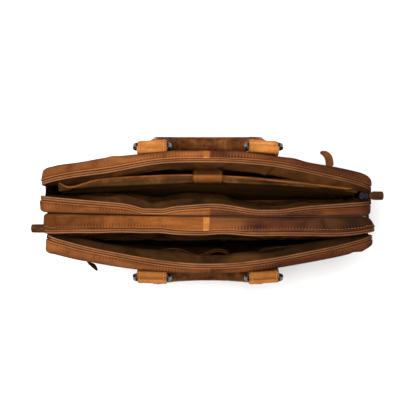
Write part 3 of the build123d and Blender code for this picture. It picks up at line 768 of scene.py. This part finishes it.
def lining_sheet(name, wall, zip_line, sense, material, body, node, seed, top_gap, inset, painted_depth_shade,
                 fold=0.0, belly=0.0, painted_end_shade=(0.0, 0.0), deep=0.0):
    """A U of cloth round half a compartment: side, wall, side. sense is the y direction from mouth to wall.

    In millimetres, top_gap is how far below the rim the cloth starts, inset how far inside the wall it
    hangs, fold how far it sags inward below the zip tape, belly what is added to that left of the middle,
    and deep how far it bulges lower down. painted_end_shade is how dark it turns towards its left and right
    ends, as painted shade. painted_depth_shade darkens it lower down as painted shade; below 0 it lightens it
    there instead, as painted light.
    """
    side_x = HALF - 4.2 * MM
    high = TOP - top_gap * MM
    side = spread(0, 1, 14)[:-1]
    x = side_x * np.concatenate([0 * side - 1, spread(-1, 1, 240), 0 * side + 1])[:, None]
    t = np.concatenate([side, np.ones(240), side[::-1]])[:, None]
    bend = high - 60 * MM
    z = np.concatenate([spread(FLOOR + 4 * MM, bend, 50)[:-1], spread(bend, high, 70)])[None, :]
    down = TOP - z
    y_wall = wall.at(x, z) - sense * inset * MM
    y_mouth = zip_line.at(x, z) + sense * 1.5 * MM
    y_tape = zip_line.at(x, TOP) + sense * 2.5 * MM
    mark = points(x, 0.0, z * 0.5)
    sway = 1 + 0.35 * rough(mark, 60 * MM, seed + 5, 2)
    near_end = smooth((side_x - np.abs(x)) / (45 * MM))
    slack_here = fold * (0.35 + 0.65 * near_end) + belly * bell(x, -75 * MM, 75 * MM)
    hang = y_tape - sense * (2 + slack_here * sway) * smooth(down / (24 * MM)) * MM
    back = smooth((down - 26 * MM) / (75 * MM))
    pulled = hang * (1 - back) + y_wall * back
    if deep:
        hold = bell(down, 105 * MM, 50 * MM)
        middle = 1 - (x / HALF) ** 2
        pulled = pulled * (1 - hold) + hold * hang - sense * deep * MM * middle * sway * hold
    p = points(x, y_mouth * (1 - t) + pulled * t, z)
    fall = rough(p * (1, 1, 0.35), 55 * MM, seed)
    rumple = creases(p * (1, 1, 1.3), 48 * MM, seed + 3) ** 3
    near_top = smooth(1 - down / (9 * MM))
    p[..., 1] -= sense * (1.6 * fall + 2.4 * rumple + 1.2) * t * (1 - 0.9 * near_top) * MM
    p[..., 2] += 1.2 * MM * rough(mark, 30 * MM, seed + 8, 2) * t * (1 - near_top)
    p[..., 0] -= np.sign(x) * (1 - t) * (0.8 + 0.8 * fall) * MM
    # The tone is painted shade and light: it changes with depth, darkens the rumples and darkens the ends.
    tone = -painted_depth_shade * smooth((down - 16 * MM) / (150 * MM)) - 0.35 * rumple * (1 - near_top)
    tone = tone - painted_end_shade[0] * smooth((-x - 125 * MM) / (45 * MM))
    tone = tone - painted_end_shade[1] * smooth((x - 30 * MM) / (70 * MM))
    piece = shell(name, p, 0.5 * MM, (0, -sense, 0), material, body, tone)
    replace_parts(piece, node)


def build_linings():
    low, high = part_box("centre_board")
    centre = (low.y + high.y) / 2
    lining_sheet("rear_lining_cloth", REAR_RIM, REAR_ZIP, 1, LINING, "rear_shell", "rear_lining", 41.0,
                 3, 4.6, -0.4, 9, -3.5, (0.55, 0.3))
    lining_sheet("centre_rear_lining_cloth", Flat(centre + 1.6 * MM), CENTRE_REAR_ZIP, -1, LINING_HALF_SHADED, "base",
                 "centre_lining_rear", 43.0, 4.5, 0, -0.6, 1, 6, (0.7, 0.1), 9)
    lining_sheet("centre_front_lining_cloth", Flat(centre - 1.6 * MM), CENTRE_FRONT_ZIP, 1, LINING_SHADED,
                 "base", "centre_lining_front", 47.0, 4.5, 0, -1.0, deep=9)
    lining_sheet("front_lining_cloth", FRONT_RIM, FRONT_ZIP, -1, LINING_HALF_SHADED, "front_shell", "front_lining",
                 51.0, 3, 4.6, 0.3, 8, 0, (0.7, 0.6))
    low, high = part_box("base_board")
    p = points(spread(low.x, high.x, 120)[:, None], spread(low.y, high.y, 34)[None, :], high.z + 0.9 * MM)
    p[..., 2] += 0.5 * MM * (1 + rough(p, 40 * MM, 57.0, 2))
    # Its tone of 0.8 lightens the cloth on the floor: painted light, down where little light reaches.
    shell("base_lining_cloth", p, 0.5 * MM, (0, 0, 1.0), LINING, "base", 0.8)


# ---------------------------------------------------------------- side gores

def side_gore(name, side, near, far, body, high, inset, material, thickness, seed, tuck_share):
    """A folded piece in a side wall, from the centre's gusset (near) to a shell's (far). inset is in mm."""
    z = spread(FLOOR + 1 * MM, high, 70)[None, :]
    t = spread(-0.08, 1.08, 26)[:, None]
    x_edge = side * (HALF - inset * MM)
    y0, y1 = near.at(x_edge, z), far.at(x_edge, z)
    lap = math.copysign(3.5 * MM, float((y1 - y0).mean()))
    y = y0 - lap + (y1 - y0 + 2 * lap) * (t + 0.08) / 1.16
    tuck = np.abs(y1 - y0) * tuck_share * np.sin(math.pi * np.clip(t, 0, 1))
    x = x_edge - side * (tuck + 0.6 * MM * (1 + rough(points(0.0, y, z), 25 * MM, seed, 2)))
    # Darker lower down: painted shade.
    tone = -0.7 * smooth((TOP - z - 30 * MM) / (160 * MM))
    piece = shell(name, points(x, y, z), thickness, (side, 0, 0), material, None, tone)
    middle_z = float(z.mean())
    start, end = ((x_edge, float(line.at(x_edge, middle_z)), middle_z) for line in (near, far))
    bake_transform(piece)
    return piece


def build_gores():
    """Leather in the lower sides, and bellows above it, which reach near the rim of the rear compartment."""
    # Drop below the rim, inset in millimetres, material and tuck.
    plain = (20 * MM, 3.8, LINING_SHADED, 0.2)
    bellows = {("rear", 1): (5.5 * MM, 1.4, BAND_DARK, 0.02), ("rear", -1): (7 * MM, 1.0, LINING_SHADED, 0.05)}
    for end, near, far in (("rear", CENTRE_REAR_ZIP, REAR_ZIP), ("front", CENTRE_FRONT_ZIP, FRONT_ZIP)):
        for side, word in ((-1, "left"), (1, "right")):
            lines = (side, near, far, end + "_shell")
            gore = side_gore(f"{end}_gore_{word}", *lines, ZIP_FOOT + 3 * MM, 2.6, PANEL, 1.4 * MM,
                             61.0 + side, 0.2)
            drop, inset, material, tuck = bellows.get((end, side), plain)
            cloth_piece = side_gore(f"{end}_bellows_{word}", *lines, TOP - drop, inset, material, 0.5 * MM,
                                    65.0 + side, tuck)


# ---------------------------------------------------------------- laptop sleeve

class DividerLine:
    """The divider's bound edge: near the rear face on the left, drifting to the front face on the right."""

    def __init__(self):
        self.rear = Edge("laptop_divider", max)
        self.front = Edge("laptop_divider", min)

    def at(self, x, z):
        share = 0.20 + 0.62 * smooth((x + 40 * MM) / (190 * MM)) + 0.75 * bell(x, -170 * MM, 20 * MM)
        curl = 6.5 * MM * smooth((np.abs(x) - 174 * MM) / (20 * MM))
        return self.rear.at(x, z) * (1 - share) + self.front.at(x, z) * share + curl


def build_divider():
    line = DividerLine()
    low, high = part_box("laptop_divider")
    top = high.z
    x = spread(-high.x, high.x, 230)[:, None]
    rising = spread(low.z, top - 6 * MM, 30)[None, :]
    falling = rising[:, ::-1]
    dip = 1.4 * MM * noise(points(x, 0.0, 7.0), 70 * MM, 71.0) - 1.0 * MM
    edge_y = line.at(x, TOP)
    rear = line.rear.at(x, rising) + 0.6 * MM * noise(points(x, 5.0, rising), 45 * MM, 72.0)
    rear[:, -1:] = np.minimum(rear[:, -1:], edge_y + 2.4 * MM)
    reach = np.maximum(edge_y - line.front.at(x, TOP), 1.5 * MM)
    t = np.array([0.25, 0.5, 0.75, 1.0])
    bulge = 2.2 * bell(falling, top - 60 * MM, 50 * MM) + 1.2 * noise(points(x, 9.0, falling), 50 * MM, 73.0)
    front = line.front.at(x, falling) - (1 - bell(x, 0, 30 * MM)) * bulge * MM
    crest_y, crest_z = mm((1.5, -2), (0.9, 0.4), (-0.9, 0.3)).T
    y = (rear, edge_y + crest_y, edge_y - 0.9 * MM - reach * t, front)
    z = (rising + 0 * x, top + crest_z + dip, top + 0.3 * MM + dip - 5.0 * MM * t ** 2.2, falling + 0 * x)
    z = np.concatenate(z, 1)
    # Painted shade lower down on the rear face, and painted light lower down on the front face, which little
    # light reaches.
    painted_depth_tone = np.where(np.arange(z.shape[1]) < z.shape[1] - falling.size, -0.25, 1.0)
    pad = tube("laptop_divider_pad", points(x, np.concatenate(y, 1), z), DIVIDER, "rear_shell",
               painted_depth_tone * smooth((top - z - 4 * MM) / (70 * MM)))
    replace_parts(pad, "laptop_divider")
    rail = points(x, edge_y, top + dip + 1.0 * MM)
    turn = spread(0, 2 * math.pi, 15)[:-1]
    wrap = points(0.0, 1.35 * np.cos(turn), 2.0 * np.sin(turn)) * MM
    # Lighter on top and darker underneath: painted highlight and painted shade.
    binding = tube("divider_edge_binding", rail + wrap, STRAP, "rear_shell", -0.25 + 0.3 * np.sin(turn))
    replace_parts(binding, "divider_binding")
    row = rail[:, 0] + mm(0, -1.2, 0.9)
    fine_stitches("divider_stitching", [(row, 0 * row + (0, -0.8, 1.0))], THREAD_DARK, "rear_shell")


def build_laptop_strap():
    """The padded strap that folds over the divider, sewn to the rear wall."""
    _, y0, z0 = joint_place("laptop_flap_lift")
    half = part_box("laptop_strap")[1].x
    path = resample(mm((14, -50), (11.5, -32), (6.2, -18), (2.6, -8), (-0.5, -0.5), (-4, 2), (-8, 1.8),
                       (-10.6, -1.4), (-11.8, -6), (-12.4, -13), (-12.8, -21)) + (y0, z0), 120)
    count = len(path)
    index = np.arange(count)[:, None]
    along = ahead(path, 1)
    normal = points(0.0, along[:, 1], -along[:, 0])[:, None]
    centre = points(0.0, path[:, 0], path[:, 1])[:, None]
    squeeze = 1 - 0.10 * np.maximum(0.0, 1 - (count - 1 - index) / 12) ** 2
    thick = 1.2 * MM + 0.15 * MM * smooth((index - 40) / 20)
    angle, u, v = blunt(36, 0.25, 0.5)
    u = u * half * squeeze
    edge = smooth((np.abs(u) / half - 0.80) / 0.2)
    h = v * thick + 0.5 * MM * (1 - edge) * (v > 0)
    h += 0.25 * MM * noise(points(u, index * MM, 3.0), 14 * MM, 75.0)
    # Painted light and shade: a little lighter on top, darker on the rounded edges, and dark where the strap
    # rises from the rear wall to the divider's edge, in shade.
    tone = np.where(np.sin(angle) < 0.2, -0.5 * edge, 0.1 - 0.25 * edge)
    tone = tone - smooth((path[:, :1] - (y0 - 5.8 * MM)) / (2.0 * MM))
    rings = centre + normal * h[..., None] + points(u, 0.0, 0.0)
    strap = tube("laptop_strap_leather", rings, STRAP, None, tone)
    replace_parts(strap, "laptop_strap", "laptop_strap_anchor")
    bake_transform(strap)
    on_flap = slice(74, None)
    row = (centre + normal * (thick[..., None] + 0.25 * MM))[on_flap, 0]
    rows = [(row + (sign * (half - 3 * MM), 0, 0), normal[on_flap, 0]) for sign in (-1, 1)]
    fine_stitches("laptop_strap_stitching", rows, THREAD, "laptop_flap")
    first = 96
    under = slice(first, 115)
    patch = centre[under] - normal[under] * 1.5 * MM + points(spread(-15, 15, 24) * MM, 0.0, 0.0)
    hook = shell("strap_hook_tape", patch, 0.7 * MM, -normal[first, 0], HOOK, "laptop_flap")
    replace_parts(hook, "strap_hook_patch")


# ---------------------------------------------------------------- organiser pockets

def build_organiser():
    wall = Edge("front_lining", max)
    for side, seed, stand, material in (("left", 81.0, 13.0, LINING_HALF_SHADED),
                                        ("right", 85.0, 10.0, LINING_SHADED)):
        low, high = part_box("organiser_pocket_" + side)
        x = spread(low.x, high.x, 170)[:, None]
        wave = 2.2 * MM * noise(points(x, 0.0, 0.0), 55 * MM, seed) - 3.0 * MM * bell(x, -40 * MM, 12 * MM)
        z = low.z + (high.z + wave - low.z) * spread(0, 1, 60)[None, :]
        bag = stand * MM * smooth((z - 30 * MM) / (190 * MM))
        pinch = smooth((x - low.x) / (26 * MM)) * smooth((high.x - x) / (26 * MM))
        ripple = np.sin(x / (13 * MM) + 1.5 * np.sin(x / (31 * MM)))
        gathers = 1 + 0.28 * ripple * smooth((z - 150 * MM) / (110 * MM))
        p = points(x, wall.at(x, z) + 1.5 * MM + bag * pinch * gathers, z)
        hem = smooth((z - (z[:, -1:] - 6 * MM)) / (1 * MM))
        p[..., 1] += 1.2 * MM * rough(p * (1, 1, 0.4), 40 * MM, seed + 2, 2) * pinch
        p[..., 1] += 0.5 * MM * hem
        # Darker lower down, as painted shade, and darker along the hem.
        tone = -0.5 * smooth((TOP - z - 30 * MM) / (120 * MM)) - 0.3 * hem
        piece = shell(f"organiser_pocket_cloth_{side}", p, 0.7 * MM, (0, 1.0, 0), material, "front_shell",
                      tone)
        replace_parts(piece, "organiser_pocket_" + side)
        row = p[:, -6, :] + mm(0, 0.3, 0)
        stitches(f"organiser_stitching_{side}", [(row, 0 * row + (0, 1.0, 0))], THREAD_DARK, "front_shell")


# ---------------------------------------------------------------- handles, rings and tabs

# How each tab and strap end is turned about the vertical, in degrees.
TILT = {"rear_left": 3.0, "rear_right": -4.5, "front_left": -1.5, "front_right": 4.0}
LOOP = 5.0 * MM               # outer radius of the leather round a ring's bar
STITCH_ROW = 0.80             # from a strap's middle to its stitch rows, over its half width

# Places across a strap, from edge to edge, closer together where it rounds off.
ACROSS = np.array([-1, -0.985, -0.95] + list(spread(-0.9, 0.9, 40)) + [0.95, 0.985, 1])[:, None]


def turned(p, centre, degrees):
    """Points turned about the vertical through centre."""
    a = math.radians(degrees)
    turn = np.array([[math.cos(a), -math.sin(a), 0], [math.sin(a), math.cos(a), 0], [0, 0, 1]])
    return (p - centre) @ turn.T + centre


def strap_edges(rounding):
    """Across a strap: how it shrinks at its edges, its two stitched dents and its tone, painted shade in the
    dents and on the rounded edges.
    """
    edge = np.abs(ACROSS)
    row = bell(edge, STITCH_ROW, 0.045)
    shrink = 1 - rounding * smooth((edge - 0.93) / 0.07) ** 2
    return shrink, row, -0.4 * row - 0.3 * smooth((edge - 0.93) / 0.05)


def build_tab(end, side):
    """A tan leather tab that folds round the ring's upper bar and runs down the panel."""
    sense = 1 if end == "rear" else -1
    node = f"{end}_handle_tab_{side}"
    low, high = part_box(node)
    centre_x = (low.x + high.x) / 2
    half = (high.x - low.x) / 2
    bar_y = max(high.y, -low.y) - LOOP
    bar_z = high.z - LOOP
    t = spread(0, 1, 22)
    a = spread(math.radians(200), math.radians(-40), 30)
    dy = np.concatenate([4.0 * t - 9.4, 5.0 * np.cos(a), -0.3 - 4.0 * t[1:]]) * MM
    dz = np.concatenate([49 * t - 52, 5.0 * np.sin(a), -6.5 - 45.5 * t[1:]]) * MM
    y, z = bar_y + dy, bar_z + dz
    shrink, row, tone = strap_edges(0.11)
    from_bar = np.hypot(dy, dz)
    on_bar = from_bar < 7 * MM
    dent = -0.35 * MM * row + 0.28 * MM * noise(points(ACROSS * half, y, z), 11 * MM, 91.0)
    scale = shrink + dent / np.maximum(from_bar, LOOP)
    base_y = np.where(on_bar, bar_y, y * 0.98 + y.mean() * 0.02)
    rings = points(centre_x + ACROSS * half, sense * (base_y + (y - base_y) * scale),
                   bar_z + dz * np.where(on_bar, scale, 1))
    centre = np.array([centre_x, sense * bar_y, bar_z])
    tilt = TILT[f"{end}_{side}"]
    # The front tabs are darker: painted shade.
    piece = tube(node + "_leather", turned(rings, centre, tilt), TAN, end + "_shell",
                 tone + (0.0 if end == "rear" else -0.5))
    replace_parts(piece, node)
    up = points(0.0, np.where(on_bar, sense * dy, sense), np.where(on_bar, dz, 0.1))[20:]
    row = points(centre_x, sense * (bar_y + dy * 1.01), z + 0.1 * MM)[20:]
    lines = [(turned(row + (u * half, 0, 0), centre, tilt), up) for u in (-STITCH_ROW, STITCH_ROW)]
    stitches(node + "_stitching", lines, THREAD_PALE, end + "_shell")


def joint_place(name):
    return next(j for j in frame["joints"] if j["name"] == name)["pos_m"]


def handle_frame(end):
    """The middle of a handle's bars, and its down and outward unit directions at rest."""
    sense = 1 if end == "rear" else -1
    lean = math.radians(3.0 if end == "rear" else -2.0)
    down = np.array([0, sense * math.sin(lean), -math.cos(lean)])
    out = np.array([0, sense * math.cos(lean), math.sin(lean)])
    return joint_place(end + "_handle_swing") * np.array([0, 1, 1]), down, out


def build_handle(end):
    """A rolled grip that hangs from two flat strap ends."""
    origin, down, out = handle_frame(end)
    across = np.array([1.0, 0, 0])
    a = spread(0, math.pi, 150)[2:-2]
    arc = points(-68 * np.cos(a), 18 + 74 * np.sin(a), 0.0)[:, :2]
    line = np.concatenate([[(-70, 12), (-69.4, 18)], arc, [(69.4, 18), (70, 12)]]) * MM
    count = 260
    path = evenly(line, count)
    marks = spread(0, lengths(line)[-1], count)[:, None]
    along = ahead(path, 2)
    x, d, nx, nd = path[:, :1], path[:, 1:], along[:, 1:], -along[:, :1]
    flat = 1 - smooth(np.minimum(marks, marks[-1] - marks) / (30 * MM))
    half_t = 9.2 * MM - 5.8 * MM * flat
    power = 0.62 + 0.3 * (1 - flat)
    angle, u, v = blunt(32, power, power)
    u = u * (6.6 * MM + 8.0 * MM * flat)
    v = v * half_t
    fold = creases(points(marks, u * 0.35, v * 0.35 + 0.2), 8 * MM, 96.0) ** 2
    push = 1 - 0.05 * fold - 0.035 * noise(points(marks, u, v), 14 * MM, 97.0)
    push -= 0.02 * creases(points(marks, 0.0, 0.3), 9 * MM, 95.0)
    ridge = 0.9 * MM * bell(angle, math.pi / 2, 0.16)

    def placed(sideways, rise):
        spots = (x + nx * sideways, d + nd * sideways, rise + 0 * x)
        return origin + sum(way * spot[..., None] for way, spot in zip((across, down, out), spots))

    # Darker in the folds, as painted shade, and lighter along the raised seam ridge.
    tone = -0.45 * fold + 0.5 * bell(angle, math.pi / 2, 0.2)
    piece = tube(end + "_handle_grip", placed(u * push, v * push + ridge), HANDLE, end + "_handle", tone)
    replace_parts(piece, end + "_handle", end + "_handle_core")
    rows = []
    for shift in mm(-3, 3):
        row = placed(shift, half_t + 0.1 * MM)[12:-12, 0]
        rows.append((row, 0 * row + out))
    stitches(end + "_handle_seam_stitching", rows, THREAD, end + "_handle")
    for side, sign in (("left", -1), ("right", 1)):
        build_strap_end(end, side, origin + (sign * 70 * MM, 0, 0), down, out)


def build_strap_end(end, side, centre, down, out):
    """A tan strap end: it turns round the ring's lower bar and is sewn over the grip's end."""
    half = 18.2 * MM
    length = 44 * MM
    tilt = TILT[f"{end}_{side}"]

    def taper(d):
        return 1 - 0.30 * smooth((d - 22 * MM) / (22 * MM))

    a = spread(math.pi, 0, 26)
    t = spread(0, 1, 30)
    front = 5 + 0.6 * np.sin(math.pi * t) - 0.6 * t
    o = np.concatenate([5 * np.cos(a), front[1:], (0.6 * t - 5)[:-1]]) * MM
    d = np.concatenate([-5 * np.sin(a), 44 * t[1:], 38 * (1 - t)[:-1]]) * MM
    shrink, row, tone = strap_edges(0.12)
    outer = o * shrink * (1 - 0.06 * row) + 0.25 * MM * noise(points(ACROSS * half, o, d), 12 * MM, 99.0)
    depth = np.where(d < 0, d * shrink, d)
    rings = centre + points(ACROSS * half * taper(d), 0.0, 0.0)
    rings = rings + out * outer[..., None] + down * depth[..., None]
    # Darker further down: painted shade.
    piece = tube(f"{end}_handle_end_{side}", turned(rings, centre, tilt), TAN, end + "_handle",
                 tone - 0.15 * smooth(d / (30 * MM)))
    a = spread(math.pi * 0.75, 0, 16)[:, None]
    t = spread(0.03, 0.85, 30)[:, None]
    up = np.concatenate([out * np.cos(a) - down * np.sin(a), out + 0 * t])
    row = np.concatenate([(out * np.cos(a) - down * np.sin(a)) * LOOP * 0.97,
                          out * (LOOP + 0.1 * MM) + down * length * t])
    wide = np.concatenate([1 + 0 * a, taper(length * t)]) * (1, 0, 0)
    lines = [(turned(centre + row + wide * u * half, centre, tilt), up) for u in (-STITCH_ROW, STITCH_ROW)]
    stitches(f"{end}_handle_end_stitching_{side}", lines, THREAD_PALE, end + "_handle")


# ---------------------------------------------------------------- zip pulls and outer pockets

def build_pull(name, path, widths, twist, material):
    """A two-layer leather pull along a path, with a stitched edge. twist is radians from a level face."""
    count = 60
    path = resample(path, count)
    share = spread(0, 1, count)
    width = np.interp(share, spread(0, 1, len(widths)), widths)[:, None]
    turn = np.interp(share, spread(0, 1, len(twist)), twist)[:, None]
    tangent = ahead(path, 1)
    level = unit(np.cross(tangent, (0, 0, 1.0)))
    side = level * np.cos(turn) + np.cross(level, tangent) * np.sin(turn)
    face = np.cross(tangent, side)
    index = np.arange(count)[:, None]
    from_end = np.minimum(index, count - 1 - index) / 5
    half_w = width / 2 * np.sqrt(np.maximum(0.02, 1 - np.maximum(0.0, 1 - from_end) ** 2))
    half_t = 1.3 * MM
    angle, u, v = blunt(28, 0.35, 0.5)
    edge = smooth((np.abs(u) - 0.5) / 0.2) - smooth((np.abs(u) - 0.7) / 0.2)
    rings = path[:, None] + side[:, None] * (u * half_w)[..., None]
    rings += face[:, None] * (v * half_t * (1 - 0.2 * edge))[None, :, None]
    tone = -0.45 * edge - 0.5 * (np.abs(np.cos(angle)) > 0.97)
    piece = tube(name + "_leather", rings, material, name, tone)
    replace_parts(piece, name)
    sewn = slice(5, -6)
    rows = [((path + side * sign * half_w * 0.66 + face * half_t * 0.86)[sewn], face[sewn])
            for sign in (-1, 1)]
    fine_stitches(name + "_stitching", rows, THREAD_PALE, name)


def build_pulls():
    w = 10.8 * MM
    neck = (6.5 * MM, w, w, w, w * 0.96)
    low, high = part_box("rear_main_pull")
    inner, outer, y, z = low.x, high.x, (low.y + high.y) / 2, (low.z + high.z) / 2
    path = [(inner + 0.4 * MM, y, z), (inner + 6 * MM, y, z), (inner + 12 * MM, y, z + 0.5 * MM),
            (outer - 4 * MM, y, z - 0.8 * MM)]
    build_pull("rear_main_pull", path, neck, (0, 0), PULL)
    low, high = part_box("front_main_pull")
    inner, outer, y, z = high.x, low.x, (low.y + high.y) / 2, (low.z + high.z) / 2
    path = [(inner - 0.4 * MM, y, z), (inner - 6 * MM, y, z), (inner - 12 * MM, y, z - 0.6 * MM),
            (outer, y, z - 1.6 * MM)]
    build_pull("front_main_pull", path, neck, (0, 0), PULL)
    low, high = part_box("rear_pocket_pull")
    curl = mm((2.6, -6.4, 1.8), (2.2, 1.6, 1.6), (0.6, 7.1, 1), (-3.2, 11, -0.2), (-10, 13.2, -2))
    build_pull("rear_pocket_pull", curl + (high.x, low.y, high.z), (w, w, w * 0.98, w * 0.8, w * 0.4),
               (0.1, 0.0, 0.0, 0.4, 0.9), BAND)
    low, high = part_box("front_pocket_pull")
    droop = mm((0.6, -0.8, 0), (4.5, -3.8, -1), (8.5, -7, -5), (11, -9, -12))
    build_pull("front_pocket_pull", droop + (low.x, high.y, (low.z + high.z) / 2), (6.5 * MM, w, w, w * 0.96),
               (1.5, 1.4, 1.2, 1.2), PULL)


def build_pocket_zips():
    for end, sense, rim in (("rear", 1, REAR_RIM), ("front", -1, FRONT_RIM)):
        low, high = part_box(end + "_pocket_zip")
        body = end + "_shell"
        x = spread(low.x, high.x, 260)
        outward = np.array([0, float(sense), 0])

        def across(*places, x=x, rim=rim, sense=sense, middle=(low.z + high.z) / 2):
            """Lines along the zip, each at its height above the zip's middle and its lift, in millimetres."""
            lines = []
            for a, lift in places:
                z = middle + a * MM
                swell = 3.0 * np.sin(math.pi * (z - FLOOR) / (TOP - FLOOR)) * (1 - (x / HALF) ** 2)
                lines.append(points(x, rim.at(x, z) + sense * (lift + swell - 0.5) * MM, z))
            return np.stack(lines, 1)

        rows = across(*[(a, 0.7 + 0.25 * math.cos(a * 1.4)) for a in spread(-5.2, 5.2, 15)])
        tape = shell(end + "_pocket_tape", rows, 0.6 * MM, outward, ZIP_TAPE, body)
        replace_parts(tape, end + "_pocket_zip")
        line = across((0.0, 1.4))[:, 0]
        normals = 0 * line + outward
        teeth(end + "_pocket_teeth", line, normals, body, 1.7 * MM)
        stitch_rows = []
        for sign, word in ((1, "upper"), (-1, "lower")):
            fold = ((2.6, 0.9), (2.8, 1.8), (3.6, 2.2), (6.5, 2.1), (9.5, 1.9), (10.8, 1.3), (11.0, 0.4))
            rows = across(*[(sign * a, lift) for a, lift in fold])
            shell(f"{end}_pocket_welt_{word}", rows, 1.0 * MM, outward, PANEL, body)
            stitch_rows += [(across((sign * a, 2.25))[:, 0], normals) for a in (4.6, 9.2)]
        stitches(end + "_pocket_stitching", stitch_rows, THREAD, body)


# ---------------------------------------------------------------- camera, light, stage

def build_stage():
    size = 3.0
    corners = np.array([(-size, -size, 0), (size, -size, 0), (size, size, 0), (-size, size, 0)])
    shader = Shader("pale_floor")
    cloud = shader.noise(shader.place, 3.0)
    tint = shader.ramp(cloud, (0.3, (0.86, 0.86, 0.86, 1)), (0.7, (0.9, 0.9, 0.9, 1)))
    floor = new_object("floor", corners, [[0, 1, 2, 3]], shader.finish(tint, 0.9, None), None)
    floor.location.z = -0.3 * MM
    world = bpy.data.worlds.new("studio")
    bpy.context.scene.world = world
    world.use_nodes = True
    world.node_tree.nodes["Background"].inputs[0].default_value = (1.0, 0.99, 0.97, 1)
    world.node_tree.nodes["Background"].inputs[1].default_value = 0.5
    for name, place, size, power in (("key", (-1.0, 0.35, 1.45), 0.8, 24.0),
                                     ("fill", (0.9, -0.8, 1.6), 1.2, 5.0),
                                     ("over", (0.0, 0.05, 2.1), 0.5, 38.0)):
        data = bpy.data.lights.new(name, "AREA")
        data.energy = power
        data.size = size
        lamp = bpy.data.objects.new(name, data)
        lamp.location = place
        lamp.rotation_euler = (Vector((0, 0, 0.2)) - Vector(place)).to_track_quat("-Z", "Y").to_euler()
        bpy.context.scene.collection.objects.link(lamp)
    bpy.context.scene.view_settings.view_transform = "Standard"


def build_camera():
    """Straight above the open bag, with the rear at the top of the picture."""
    distance = 1.5
    seen = 0.516                  # width of the picture at the rim
    camera = bpy.data.cameras.new("camera")
    camera.sensor_width = 36
    camera.lens = 36 * distance / seen
    holder = bpy.data.objects.new("camera", camera)
    holder.location = (0.0, 5 * MM, TOP + distance)
    bpy.context.scene.collection.objects.link(holder)
    bpy.context.scene.camera = holder


def dress_cad():
    """Materials for the CAD's own nodes, by the first word that a name holds."""
    rules = (("ring", GUNMETAL), ("main_slider", BLACK_METAL), ("main_pull_link", BLACK_METAL),
             ("slider", ANTIQUE), ("link", ANTIQUE), ("board", BOARD), ("core", BOARD), ("hook", HOOK),
             ("pocket_zip", ZIP_TAPE), ("panel", PANEL), ("gusset", BAND), ("tab", TAN), ("handle", HANDLE),
             ("pull", PULL), ("strap", STRAP), ("binding", STRAP), ("divider", DIVIDER),
             ("organiser", LINING), ("lining", LINING), ("tape", ZIP_TAPE), ("coil", COIL))
    for name, node in frame["nodes"].items():
        node.data.materials.clear()
        node.data.materials.append(next(material for word, material in rules if word in name))
        node.data.polygons.foreach_set("material_index", [0] * len(node.data.polygons))


build_gussets()
build_panels()
build_base()
build_linings()
build_gores()
build_divider()
build_laptop_strap()
build_organiser()
for the_end in ("rear", "front"):
    for the_side in ("left", "right"):
        build_tab(the_end, the_side)
    build_handle(the_end)
build_pulls()
build_pocket_zips()
build_stage()
build_camera()
dress_cad()
